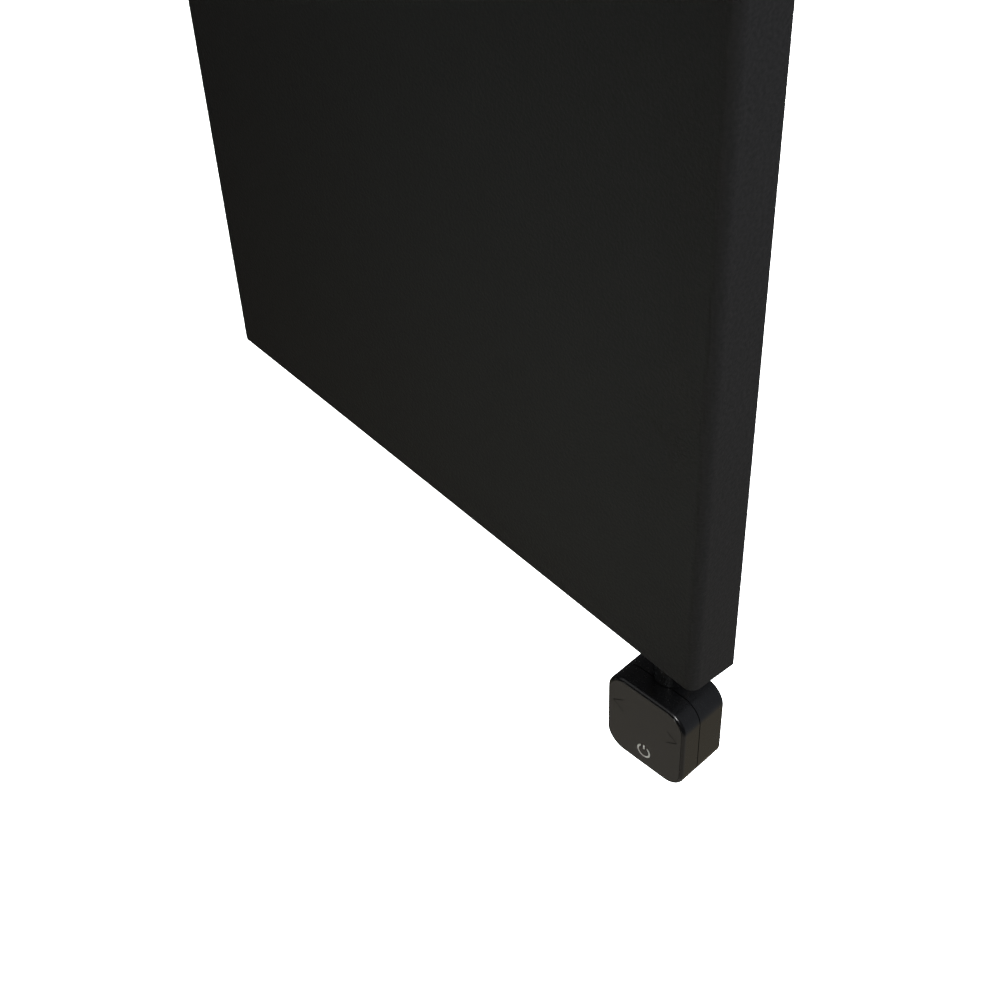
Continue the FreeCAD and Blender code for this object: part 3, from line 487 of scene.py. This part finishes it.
def boardLaminate():
    # glass-fibre board under green solder lacquer: the weave shows through as a fine check
    look = {"light": "#1f5a36", "dark": "#154227", "threadMm": 0.5, "warp": 0.35, "weft": 0.65,
            "cloudMm": 8.0}
    material, tree, surface, where = newMaterial("green_glass_fibre_laminate", IOR=1.55, Roughness=0.3)
    check = addNode(tree, "ShaderNodeTexChecker", {"Vector": where},
                    inputs={"Scale": perMetre(look["threadMm"]), "Color1": grey(look["warp"]),
                            "Color2": grey(look["weft"])})
    cloud = addNode(tree, "ShaderNodeTexNoise", {"Vector": where},
                    inputs={"Scale": perMetre(look["cloudMm"]), "Detail": 3})
    both = addNode(tree, "ShaderNodeMath", {0: check.outputs["Fac"], 1: cloud.outputs["Fac"]},
                   operation="MULTIPLY")
    colour = addNode(tree, "ShaderNodeValToRGB", {"Fac": both.outputs[0]},
                     ramp=[(0, hexColour(look["dark"])), (0.6, hexColour(look["light"]))])
    tree.links.new(colour.outputs["Color"], surface.inputs["Base Color"])
    return material


finishes = {
    "panel_coat": powderCoat(),
    # enamel dipped and baked on steel: black with a satin shine and a slight peel
    "bracket_coat": grainedFinish("satin_black_stove_enamel", "#1c1b1a", "#131312", 1.2, 0.42),
    # nylon moulded in an eroded tool, undyed: dull ivory grey
    "liner_plastic": grainedFinish("natural_nylon", "#827e74", "#6e6a61", 0.8, 0.5),
    "plated_brass": platedBrass(),
    "bright_steel": brightSteel(),
    "black_rubber": mouldedRubber(),
    "head_plastic": glossAbs(),
    "face_lens": blackLens(),
    "white_window": milkWindow(),
    "board_laminate": boardLaminate(),
    # glass-filled nylon of relay and terminal cases: dark grey blue, dry sheen
    "module_plastic": grainedFinish("grey_blue_component_nylon", "#3a4654", "#2c3743", 0.6, 0.45),
}
slotOf = {entry["node"]: entry["material_slot"] for entry in frame["record"]["subparts"]}
for name, node in nodes.items():
    node.data.materials.clear()
    node.data.materials.append(finishes[slotOf[name]])
print("materials made:", len(finishes))


# front panel: one sheet, folded back along both long sides

panel = {"width": 400, "height": 800, "front": -70, "back": -40, "sheet": 1.5, "fold": 6,
         "foldSteps": 14, "cutEdge": 0.22, "cutSteps": 3, "cutAngle": 60, "smoothAngle": 30}


def makeFrontPanel():
    half = panel["width"] / 2
    top = panel["height"] / 2
    piece = addBlock("frontPanel", (-half, panel["front"], -top), (half, panel["back"], top))
    pickFaces(piece, lambda normal, middle: normal.y > facing or abs(normal.z) > facing)
    bpy.ops.mesh.delete(type="FACE")
    pickEdges(piece, lambda a, b: abs(a.x - b.x) < close and max(a.y, b.y) < panel["front"] + close)
    roundPicked(panel["fold"], panel["foldSteps"])
    takeUp(piece)
    bpy.ops.object.modifier_add(type="SOLIDIFY")
    wall = piece.modifiers[-1]
    wall.thickness = panel["sheet"] * mm
    wall.offset = -1
    wall.use_even_offset = True
    bpy.ops.object.modifier_apply(modifier=wall.name)
    softenEdges(piece, panel["cutEdge"], panel["cutSteps"], panel["cutAngle"])
    smoothOver(piece, panel["smoothAngle"])
    return handOver(piece, "radiator", "panel_coat", ["front_panel"])


makeFrontPanel()
print("front panel made")


# control head, modelled in its own frame: neck axis at x = y = 0, top at z = 0, facing -y

head = {"width": 53, "height": 57, "depth": 31.5, "corner": 12.5, "cornerSteps": 20, "toolSteps": 17,
        "edge": 1.0, "edgeSteps": 6, "coverEdge": 2.1, "coverSteps": 10, "face": -20.5, "faceWall": 3.0,
        "seam": 12.5, "seamGap": 0.6, "wall": 2.0, "rim": 1.7, "plate": 1.4, "plateGap": 0.16,
        "plateEdge": 0.2, "plateSteps": 3, "turn": 4.4, "neck": (172.8, -55.9, -418.4)}


def setInPlace(piece):
    # turns a piece of the head as the head stands and carries it to the neck
    return moveTo(piece, head["neck"], (0, 0, head["turn"]))


def roundedBlock(name, inset, front, back, steps=head["cornerSteps"]):
    # a block with the head's rounded outline, drawn in by the inset
    half = head["width"] / 2 - inset
    piece = addBlock(name, (-half, front, inset - head["height"]), (half, back, -inset))
    pickEdges(piece, lambda a, b: abs(a.y - b.y) > close)
    roundPicked(head["corner"] - inset, steps)
    return piece


def makeFrontCover():
    back = head["face"] + head["seam"] - head["seamGap"] / 2
    piece = roundedBlock("frontCover", 0, head["face"], back)
    pickEdges(piece, lambda a, b: max(a.y, b.y) < head["face"] + close)
    roundPicked(head["coverEdge"], head["coverSteps"])
    floorAt = head["face"] + head["plate"] + head["plateGap"]
    # corner steps unlike the outside's, so that no cut runs along its edges
    recess = roundedBlock("recess", head["rim"], head["face"] - over, floorAt, head["toolSteps"])
    hollow = roundedBlock("hollow", head["wall"], head["face"] + head["faceWall"], back + over,
                          head["toolSteps"])
    carve(piece, [recess, hollow])
    smoothOver(piece)
    setInPlace(piece)
    return handOver(piece, "control_head", "head_plastic", ["front_cover"])


rear = {"screwInset": 8.5, "sinkRadius": 2.5, "sinkDepth": 2.4, "sinkSides": 48, "neckBore": 6.05,
        "boreDeep": 4.0, "boreSides": 96, "glandDrop": 44, "glandHole": 5.25, "holeDeep": 3.0,
        "holeSides": 64}


def screwPlaces():
    # x and z of the four screws
    reach = head["width"] / 2 - rear["screwInset"]
    return [(x, z) for x in (-reach, reach)
            for z in (-rear["screwInset"], rear["screwInset"] - head["height"])]


def makeRearHousing():
    front = head["face"] + head["seam"] + head["seamGap"] / 2
    back = head["face"] + head["depth"]
    piece = roundedBlock("rearHousing", 0, front, back)
    pickEdges(piece, lambda a, b: min(a.y, b.y) > back - close)
    roundPicked(head["edge"], head["edgeSteps"])
    hollow = roundedBlock("hollow", head["wall"], front - over, back - head["wall"], head["toolSteps"])
    tools = [addRod("neckBore", rear["neckBore"], (0, 0, -rear["boreDeep"]), (0, 0, over),
                    rear["boreSides"]),
             addRod("glandHole", rear["glandHole"], (0, back - rear["holeDeep"], -rear["glandDrop"]),
                    (0, back + over, -rear["glandDrop"]), rear["holeSides"])]
    for x, z in screwPlaces():
        tools.append(addRod("screwSink", rear["sinkRadius"], (x, back - rear["sinkDepth"], z),
                            (x, back + over, z), rear["sinkSides"]))
    carve(piece, [hollow] + tools)
    smoothOver(piece)
    setInPlace(piece)
    return handOver(piece, "control_head", "head_plastic", ["rear_housing"])


symbol = {"drop": 45, "radius": 4.5, "sides": 96, "stroke": 1.05, "opening": 4.2, "barRise": 4.9,
          "barLength": 3.3, "clear": 0.04, "edge": 0.06, "arrowDrop": 20.2, "arrowReach": 22,
          "arrowLength": 8.3, "arrowAngle": 32.7, "arrowStroke": 0.5, "arrowDeep": 0.35}


def powerSymbol(name, grow, front, back):
    # an open ring with a bar in the opening
    middle = -symbol["drop"]
    ringPiece = addRod(name, symbol["radius"] + grow, (0, front, middle), (0, back, middle), symbol["sides"])
    halfOpen = symbol["opening"] / 2 - grow
    carve(ringPiece, [addRod("hole", symbol["radius"] - symbol["stroke"] - grow, (0, front - over, middle),
                             (0, back + over, middle), symbol["sides"]),
                      addBlock("gap", (-halfOpen, front - over, middle),
                               (halfOpen, back + over, middle + 2 * symbol["radius"]))])
    halfBar = symbol["stroke"] / 2 + grow
    barTop = middle + symbol["barRise"] + grow
    barFoot = barTop - symbol["barLength"] - 2 * grow
    bar = addBlock("bar", (-halfBar, front, barFoot), (halfBar, back, barTop))
    return join(name, [ringPiece, bar])


def arrowTools():
    # the four strokes of the two arrow marks
    strokes = []
    half = symbol["arrowStroke"] / 2
    depth = head["face"] + symbol["arrowDeep"]
    for sign, heading in ((-1, 0), (1, 180)):
        tip = Vector((sign * symbol["arrowReach"], 0, -symbol["arrowDrop"]))
        for lean in (-symbol["arrowAngle"], symbol["arrowAngle"]):
            stroke = addBlock("stroke", (0, head["face"] - over, -half),
                              (symbol["arrowLength"], depth, half))
            strokes.append(moveTo(stroke, tip, (0, heading + lean, 0)))
    return strokes


def makeFacePlate():
    front = head["face"]
    back = front + head["plate"]
    piece = roundedBlock("facePlate", head["rim"] + head["plateGap"], front, back)
    pickEdges(piece, lambda a, b: max(a.y, b.y) < front + close)
    roundPicked(head["plateEdge"], head["plateSteps"])
    carve(piece, [powerSymbol("window", symbol["clear"], front - over, back + over)] + arrowTools())
    smoothOver(piece)
    setInPlace(piece)
    return handOver(piece, "control_head", "face_lens", ["face_plate"])


def makePowerWindow():
    front = head["face"]
    piece = powerSymbol("powerWindow", 0, front, front + head["plate"])
    softenEdges(piece, symbol["edge"])
    smoothOver(piece)
    setInPlace(piece)
    return handOver(piece, "control_head", "white_window", ["light_guide"])


collar = {"radius": 10, "bore": 6.05, "low": -418.1, "high": -400.5, "sides": 128, "edge": 0.5,
          "edgeSteps": 4, "edgeAngle": 60}


def makeNeckCollar():
    x, y, _ = head["neck"]
    piece = addRod("neckCollar", collar["radius"], (x, y, collar["low"]), (x, y, collar["high"]),
                   collar["sides"])
    pickFaces(piece, lambda normal, middle: abs(normal.z) > facing)
    bpy.ops.mesh.inset(thickness=(collar["radius"] - collar["bore"]) * mm)
    bpy.ops.mesh.bridge_edge_loops()
    bpy.ops.object.mode_set(mode="OBJECT")
    softenEdges(piece, collar["edge"], collar["edgeSteps"], collar["edgeAngle"])
    smoothOver(piece)
    return handOver(piece, "radiator", "head_plastic", ["neck_collar"])


gland = {"bore": 3.6, "wall": 1.6, "flange": 1.6, "flangeWide": 1.8, "lip": 1.2, "lipWide": 1.0,
         "mouth": 0.7, "sides": 72, "edge": 0.4, "edgeSteps": 4, "edgeAngle": 30, "smoothAngle": 40}


def makeCableGland():
    # rubber bush, seen from behind: a flared mouth and a rounded flange
    back = head["face"] + head["depth"]
    low, inner, top = back - head["wall"] - gland["lip"], back - head["wall"], back + gland["flange"]
    bore, mouth = gland["bore"], gland["mouth"]
    barrel = bore + gland["wall"]
    lip, flange = barrel + gland["lipWide"], barrel + gland["flangeWide"]
    piece = turned("cableGland", [(bore, low), (lip, low), (lip, inner), (barrel, inner), (barrel, back),
                                  (flange, back), (flange, top), (bore + mouth, top), (bore, top - mouth)],
                   gland["sides"], True)
    softenEdges(piece, gland["edge"], gland["edgeSteps"], gland["edgeAngle"])
    smoothOver(piece, gland["smoothAngle"])
    setInPlace(moveTo(piece, (0, 0, -rear["glandDrop"]), (-90, 0, 0)))
    return handOver(piece, "control_head", "black_rubber", ["cable_gland"])


screw = {"head": 2.4, "tall": 1.8, "shank": 1.3, "long": 20.0, "sides": 48, "edge": 0.45, "edgeSteps": 4,
         "edgeAngle": 60, "crossLong": 1.5, "crossWide": 0.4, "crossDeep": 0.9}


def makeHousingScrews():
    # pan-head screw with a cross recess, made once for the four sinks
    seat = head["face"] + head["depth"] - rear["sinkDepth"]
    top = seat + screw["tall"]
    model = turned("screw", [(screw["shank"], seat - screw["long"]), (screw["shank"], seat),
                             (screw["head"], seat), (screw["head"], top)], screw["sides"])
    softenEdges(model, screw["edge"], screw["edgeSteps"], screw["edgeAngle"])
    moveTo(model, (0, 0, 0), (-90, 0, 0))
    arms = (screw["crossLong"], screw["crossWide"])
    for wide, tall in (arms, arms[::-1]):
        carve(model, [addBlock("cross", (-wide, top - screw["crossDeep"], -tall), (wide, top + over, tall))])
    bits = [copyOf(model, "screwCopy", (x, 0, z)) for x, z in screwPlaces()]
    bpy.data.objects.remove(model)
    piece = setInPlace(join("housingScrews", bits))
    smoothOver(piece)
    return handOver(piece, "control_head", "bright_steel", ["housing_screws"])


makeFrontCover()
makeRearHousing()
makeCableGland()
makeHousingScrews()
makeFacePlate()
makePowerWindow()
makeNeckCollar()
print("control head made")


# tube register: collectors with their welds, cross tubes, threaded ends

weld = {"bead": 1.5, "steps": 60, "beadSides": 12, "ripple": 0.28, "lift": 0.4, "frontCut": 6.0,
        "endShare": 1.3, "tackEvery": 80, "tackLong": 7.0, "tackBead": 1.8, "tackRise": 0.6,
        "tackReach": 1.4, "tackSides": 16, "tackRings": 10, "collectorSides": 96, "tubeSides": 72,
        "smoothAngle": 50}


def weldRing(name, radius, bead):
    # a bead with the small ripples that the weld pool leaves
    clearHands()
    bpy.ops.mesh.primitive_torus_add(major_radius=radius * mm, minor_radius=bead * mm,
                                     major_segments=weld["steps"], minor_segments=weld["beadSides"])
    piece = settle(bpy.context.object, name)
    stepAngle = math.tau / weld["steps"]
    pickPoints(piece, lambda co: round(math.atan2(co.y, co.x) / stepAngle) % 2 == 0)
    bpy.ops.transform.shrink_fatten(value=weld["ripple"] * mm)
    bpy.ops.object.mode_set(mode="OBJECT")
    return piece


def makeCollectors(tubeNodes):
    for side in ("left", "right"):
        node = "collector_" + side
        low, high = boxOf(node)
        radius = (high.x - low.x) / 2
        x, y = (low.x + high.x) / 2, (low.y + high.y) / 2
        inward = 1 if x < 0 else -1
        groove = weld["bead"] / 2   # weld groove at both ends
        bits = [turned(pieceName(node), [(radius - groove, low.z), (radius, low.z + groove),
                                          (radius, high.z - groove), (radius - groove, high.z)],
                       weld["collectorSides"])]
        moveTo(bits[0], (x, y, 0))
        for z in (low.z, high.z):
            bits.append(moveTo(weldRing("endWeld", radius - groove, groove * weld["endShare"]), (x, y, z)))
        for tubeNode in tubeNodes:
            tubeLow, tubeHigh = boxOf(tubeNode)
            tubeRadius = (tubeHigh.z - tubeLow.z) / 2
            tubeY, tubeZ = tubeHigh.y - tubeRadius, tubeLow.z + tubeRadius
            bead = weldRing("tubeWeld", tubeRadius + weld["lift"], weld["bead"])
            moveTo(bead, (x + inward * radius, tubeY, tubeZ), (0, 90, 0))
            # nothing of the bead lies between the tube and the sheet
            takeUp(bead)
            bpy.ops.object.mode_set(mode="EDIT")
            bpy.ops.mesh.select_all(action="SELECT")
            bpy.ops.mesh.bisect(plane_co=(0, (tubeY - weld["frontCut"]) * mm, 0), plane_no=(0, 1, 0),
                                use_fill=True, clear_inner=True)
            bpy.ops.object.mode_set(mode="OBJECT")
            bits.append(bead)
        piece = join(pieceName(node), bits)
        smoothOver(piece, weld["smoothAngle"])
        handOver(piece, "radiator", "panel_coat", [node])


def makeCrossTubes(tubeNodes):
    # one tube with its tack welds to the sheet, then a copy for each place
    low, high = boxOf(tubeNodes[0])
    radius = (high.z - low.z) / 2
    y, z = high.y - radius, low.z + radius
    tube = turned("crossTube", [(radius, low.x), (radius, high.x)], weld["tubeSides"])
    bits = [moveTo(tube, (0, y, z), (0, 90, 0))]
    tackY = y - radius + weld["tackBead"] * weld["tackRise"]   # off the back of the sheet
    tackZ = math.sqrt(radius * weld["tackBead"] * weld["tackReach"])   # into the corner beside the tube
    tacks = int((high.x - low.x) / 2 / weld["tackEvery"])
    for step in range(-tacks, tacks + 1):
        for up in (-1, 1):
            clearHands()
            place = (step * weld["tackEvery"], tackY, z + up * tackZ)
            bpy.ops.mesh.primitive_uv_sphere_add(segments=weld["tackSides"], ring_count=weld["tackRings"],
                                                 radius=mm, location=[c * mm for c in place])
            bpy.context.object.scale = (weld["tackLong"], weld["tackBead"], weld["tackBead"])
            tack = settle(bpy.context.object, "tackWeld")
            pickPoints(tack, lambda co: round(co.x) % 2 == 0)   # ripples
            bpy.ops.transform.shrink_fatten(value=weld["ripple"] * mm)
            bpy.ops.object.mode_set(mode="OBJECT")
            bits.append(tack)
    model = join("crossTube", bits)
    smoothOver(model, weld["smoothAngle"])
    for node in tubeNodes:
        piece = copyOf(model, pieceName(node), (0, 0, boxOf(node)[0].z - low.z))
        handOver(piece, "radiator", "panel_coat", [node])
    bpy.data.objects.remove(model)


ends = {"thread": 10.475, "bore": 10.575, "sides": 96, "chamfer": 0.5, "chamferSteps": 3, "flange": 3.0,
        "threadLong": 11.0, "keyRadius": 5.77, "keyDeep": 5.0, "keySides": 6, "ventBore": 3.05,
        "ventDeep": 9.0}


def makeSockets():
    nodeNames = [f"socket_{end}_{side}" for end in ("bottom", "top") for side in ("left", "right")]
    low, high = boxOf(nodeNames[0])
    radius = (high.x - low.x) / 2
    tall = high.z - low.z
    model = turned("socket", [(ends["bore"], 0), (radius, 0), (radius, tall), (ends["bore"], tall)],
                   ends["sides"], True)
    softenEdges(model, ends["chamfer"], ends["chamferSteps"])
    smoothOver(model)
    for node in nodeNames:
        low, high = boxOf(node)
        piece = copyOf(model, pieceName(node), ((low.x + high.x) / 2, (low.y + high.y) / 2, low.z))
        handOver(piece, "radiator", "panel_coat", [node])
    bpy.data.objects.remove(model)


def makePlugs():
    for node in ("blind_plug_bottom", "blind_plug_top", "air_vent_plug"):
        low, high = boxOf(node)
        radius = (high.x - low.x) / 2
        out = -1 if node == "blind_plug_bottom" else 1   # which way the flange faces
        outer = low.z if out < 0 else high.z
        thread, seat = outer - out * (ends["flange"] + ends["threadLong"]), outer - out * ends["flange"]
        piece = turned(pieceName(node), [(ends["thread"], thread), (ends["thread"], seat),
                                         (radius, seat), (radius, outer)], ends["sides"])
        softenEdges(piece, ends["chamfer"], ends["chamferSteps"])
        mouth = (0, 0, outer + out * over)
        if node == "air_vent_plug":
            hole = addRod("ventHole", ends["ventBore"], (0, 0, outer - ends["ventDeep"]), mouth)
        else:
            hole = addRod("keyHole", ends["keyRadius"], (0, 0, outer - out * ends["keyDeep"]), mouth,
                          ends["keySides"])
        carve(piece, [hole])
        moveTo(piece, ((low.x + high.x) / 2, (low.y + high.y) / 2, 0))
        smoothOver(piece)
        handOver(piece, "radiator", "plated_brass", [node])


bleed = {"shaft": 3.0, "head": 4.5, "headTall": 4.0, "slotWide": 1.2, "slotDeep": 1.8, "flutes": 24,
         "fluteSteps": 4, "fluteDeep": 0.25, "edge": 0.3, "edgeSteps": 2, "edgeAngle": 60}


def makeBleedScrew():
    low, high = boxOf("bleed_screw")
    seat = high.z - bleed["headTall"]
    piece = turned("bleedScrew", [(bleed["shaft"], low.z), (bleed["shaft"], seat), (bleed["head"], seat),
                                  (bleed["head"], high.z)], bleed["fluteSteps"] * bleed["flutes"])
    # fluted grip round the head
    fluteAngle = math.tau / bleed["flutes"]
    halfStep = fluteAngle / bleed["fluteSteps"] / 2
    pickPoints(piece, lambda co: co.xy.length > bleed["head"] - close
               and abs(math.remainder(math.atan2(co.y, co.x), fluteAngle)) < halfStep)
    shrink = 1 - bleed["fluteDeep"] / bleed["head"]
    bpy.ops.transform.resize(value=(shrink, shrink, 1), center_override=(0, 0, seat * mm))
    bpy.ops.object.mode_set(mode="OBJECT")
    softenEdges(piece, bleed["edge"], bleed["edgeSteps"], bleed["edgeAngle"])
    half, reach = bleed["slotWide"] / 2, 2 * bleed["head"]
    carve(piece, [addBlock("slot", (-reach, -half, high.z - bleed["slotDeep"]),
                           (reach, half, high.z + over))])
    moveTo(piece, ((low.x + high.x) / 2, (low.y + high.y) / 2, 0))
    smoothOver(piece)
    handOver(piece, "bleed_screw", "plated_brass", ["bleed_screw"])


tubeNodes = sorted(name for name in nodes if name.startswith("cross_tube"))
makeCollectors(tubeNodes)
makeCrossTubes(tubeNodes)
makeSockets()
makePlugs()
makeBleedScrew()
print("tube register made")


# hanging: lugs on the tubes, brackets on the wall, liners between them

hanging = {"lugSheet": 2.5, "lugBend": 3.0, "lugLip": 10.0, "bracketSheet": 3.0,
           "bracketBends": (5.0, 2.0), "lipTall": 17.0, "hole": 3.5, "holeRise": 15.0, "holeReach": 9,
           "linerSheet": 1.0, "linerBend": 1.3, "edge": 0.35, "edgeSteps": 2, "edgeAngle": 50}


def makeHangers():
    # each modelled at one place and copied to the others
    places = [f"{row}_{side}" for row in ("lower", "upper") for side in ("left", "right")]
    models = {"hanger_lug_": ("radiator", "panel_coat"),
              "wall_bracket_": ("wall_brackets", "bracket_coat"),
              "bracket_liner_": ("wall_brackets", "liner_plastic")}
    boxes = {kind: boxOf(kind + places[0]) for kind in models}
    low, high = boxes["hanger_lug_"]
    middle = (low.x + high.x) / 2
    lug = foldedStrip("lug", middle, high.x - low.x,
                      [(low.y, low.z), (low.y, high.z), (high.y, high.z),
                       (high.y, high.z - hanging["lugLip"])],
                      [hanging["lugBend"]] * 2, hanging["lugSheet"], True)
    low, high = boxes["wall_bracket_"]
    armTop = high.z - hanging["lipTall"] + hanging["bracketSheet"]
    lipBack = low.y + hanging["bracketSheet"]
    bracket = foldedStrip("bracket", middle, high.x - low.x,
                          [(high.y, low.z), (high.y, armTop), (lipBack, armTop), (lipBack, high.z)],
                          hanging["bracketBends"], hanging["bracketSheet"], False)
    holeZ = low.z + hanging["holeRise"]
    carve(bracket, [addRod("hole", hanging["hole"], (middle, -hanging["holeReach"], holeZ),
                           (middle, hanging["holeReach"], holeZ))])
    low, high = boxes["bracket_liner_"]
    liner = foldedStrip("liner", middle, high.x - low.x,
                        [(low.y, low.z), (low.y, high.z), (high.y, high.z), (high.y, low.z)],
                        [hanging["linerBend"]] * 2, hanging["linerSheet"], True)
    for (kind, (body, slotName)), model in zip(models.items(), (lug, bracket, liner)):
        softenEdges(model, hanging["edge"], hanging["edgeSteps"], hanging["edgeAngle"])
        smoothOver(model)
        for place in places:
            node = kind + place
            piece = copyOf(model, pieceName(node), boxOf(node)[0] - boxes[kind][0])
            handOver(piece, body, slotName, [node])
        bpy.data.objects.remove(model)


makeHangers()
print("hangers made")


# stage: pale floor, soft light, and the camera

stage = {"floorDrop": -0.95, "floorSize": 80, "floorColour": "#f4f4f2", "floorRough": 0.8, "glow": 1.1,
         "mottleMm": 500, "mottleShade": 0.985}


def makeStage():
    clearHands()
    bpy.ops.mesh.primitive_plane_add(size=stage["floorSize"], location=(0, 0, stage["floorDrop"]))
    floor = settle(bpy.context.object, "studioFloor")
    tone = hexColour(stage["floorColour"])
    material, tree, surface, where = newMaterial("pale_floor", **{
        "Roughness": stage["floorRough"], "Emission Color": tone, "Emission Strength": stage["glow"]})
    # painted board: almost even, with a faint mottle
    cloud = addNode(tree, "ShaderNodeTexNoise", {"Vector": where},
                    inputs={"Scale": perMetre(stage["mottleMm"]), "Detail": 3})
    colour = addNode(tree, "ShaderNodeValToRGB", {"Fac": cloud.outputs["Fac"]},
                     ramp=[(0.3, [c * stage["mottleShade"] for c in tone[:3]] + [1]), (0.7, tone)])
    tree.links.new(colour.outputs["Color"], surface.inputs["Base Color"])
    floor.data.materials.append(material)
    # the part is lit by the room below, not by the bright floor itself
    floor.visible_diffuse = False
    floor.visible_glossy = False
    floor.visible_shadow = False


lights = {
    # name: place, aim, width and height, power, spread in degrees, colour
    "frontBox": ((1.15, -1.8, 0.83), (0.17, -0.06, -0.42), (0.5, 0.35), 25, 180, "#ffffff"),
    "frontSoft": ((-0.58, -1.75, 0.66), (0.17, -0.06, -0.42), (2.4, 1.6), 6, 180, "#ffffff"),
    "panelFill": ((-0.1, -1.25, -0.35), (0.16, -0.07, -0.26), (0.45, 0.45), 0.7, 31, "#ebfaff"),
    "rightFill": ((1.7, 0.75, 0.9), (0.2, -0.05, -0.1), (1.4, 1.4), 127, 180, "#e8eefd"),
    "rearFill": ((-0.7, 2.2, 0.4), (0, -0.05, 0), (1.6, 1.6), 150, 180, "#ffffff"),
}

# what the part mirrors: a warm floor, walls grey on the right, dim on the left, dark behind the camera
room = {"near": "#968f86", "front": "#a5a096", "back": "#827a69", "towards": (0.65, -0.76, 0),
        "floorStops": (0.41, 0.59, 0.74), "skirting": (-0.74, -0.5),
        "right": "#787a7e", "left": "#303033", "leftEnd": 0.45, "rightEnd": 0.8,
        "behind": "#101010", "behindStops": (0.68, 0.8), "backdrop": "#ffffff"}


def makeLights():
    for name, (place, aim, (width, height), power, spread, tint) in lights.items():
        clearHands()
        bpy.ops.object.light_add(type="AREA", location=place)
        lamp = bpy.context.object
        lamp.name = name
        lamp.rotation_euler = (Vector(aim) - Vector(place)).to_track_quat("-Z", "Y").to_euler()
        lamp.data.shape = "RECTANGLE"
        lamp.data.size = width
        lamp.data.size_y = height
        lamp.data.energy = power
        lamp.data.spread = math.radians(spread)
        lamp.data.color = hexColour(tint)[:3]
        lamp.visible_glossy = not name.endswith("Fill")   # the fills stay out of the gloss
        lamp.data.cycles.use_multiple_importance_sampling = lamp.visible_glossy


def makeRoom():
    world = bpy.data.worlds.new("studio")
    world.use_nodes = True
    tree = world.node_tree
    tree.nodes.clear()
    way = addNode(tree, "ShaderNodeTexCoord").outputs["Generated"]
    axes = addNode(tree, "ShaderNodeSeparateXYZ", {"Vector": way})
    # from left to right, and from behind the part to the camera, both as 0 to 1
    across = addNode(tree, "ShaderNodeMapRange", {"Value": axes.outputs["X"]}, inputs={"From Min": -1})
    reach = addNode(tree, "ShaderNodeVectorMath", {0: way}, operation="DOT_PRODUCT",
                    inputs={1: room["towards"]})
    along = addNode(tree, "ShaderNodeMapRange", {"Value": reach.outputs["Value"]},
                    inputs={"From Min": -1})
    floorTones = [hexColour(room[name]) for name in ("back", "front", "near")]
    ground = addNode(tree, "ShaderNodeValToRGB", {"Fac": along.outputs["Result"]},
                     ramp=list(zip(room["floorStops"], floorTones)))
    walls = addNode(tree, "ShaderNodeValToRGB", {"Fac": across.outputs["Result"]},
                    ramp=[(room["leftEnd"], hexColour(room["left"])),
                          (room["rightEnd"], hexColour(room["right"]))])
    dim = addNode(tree, "ShaderNodeMapRange", {"Value": along.outputs["Result"]},
                  inputs={"From Min": room["behindStops"][0], "From Max": room["behindStops"][1]})
    walls = addNode(tree, "ShaderNodeMix", {"Factor": dim.outputs["Result"], 6: walls.outputs["Color"]},
                    data_type="RGBA", inputs={7: hexColour(room["behind"])})
    above = addNode(tree, "ShaderNodeMapRange", {"Value": axes.outputs["Z"]},
                    inputs={"From Min": room["skirting"][0], "From Max": room["skirting"][1]})
    around = addNode(tree, "ShaderNodeMix", {"Factor": above.outputs["Result"],
                                             6: ground.outputs["Color"], 7: walls.outputs[2]},
                     data_type="RGBA")
    seen = addNode(tree, "ShaderNodeLightPath")
    shown = addNode(tree, "ShaderNodeMix", {"Factor": seen.outputs["Is Camera Ray"],
                                            6: around.outputs[2]},
                    data_type="RGBA", inputs={7: hexColour(room["backdrop"])})
    sky = addNode(tree, "ShaderNodeBackground", {"Color": shown.outputs[2]})
    addNode(tree, "ShaderNodeOutputWorld", {"Surface": sky.outputs["Background"]})
    bpy.context.scene.world = world


viewpoint = {"lens": 59.792, "sensor": 36, "nearest": 0.01, "place": (0.56283, -0.47524, 0.23828),
             "right": (0.647491, 0.761297, -0.034369),
             "up": (-0.503342, 0.46109, 0.730782),
             "back": (0.57219, -0.455876, 0.681745)}


def makeCamera():
    clearHands()
    bpy.ops.object.camera_add()
    camera = bpy.context.object
    camera.name = "viewCamera"
    axes = Matrix([viewpoint["right"], viewpoint["up"], viewpoint["back"]]).transposed()
    camera.matrix_world = Matrix.Translation(viewpoint["place"]) @ axes.to_4x4()
    camera.data.sensor_width = viewpoint["sensor"]
    camera.data.lens = viewpoint["lens"]
    camera.data.clip_start = viewpoint["nearest"]
    bpy.context.scene.camera = camera
    bpy.context.scene.view_settings.view_transform = "Standard"


makeStage()
makeLights()
makeRoom()
makeCamera()
print("stage set")

clearHands()
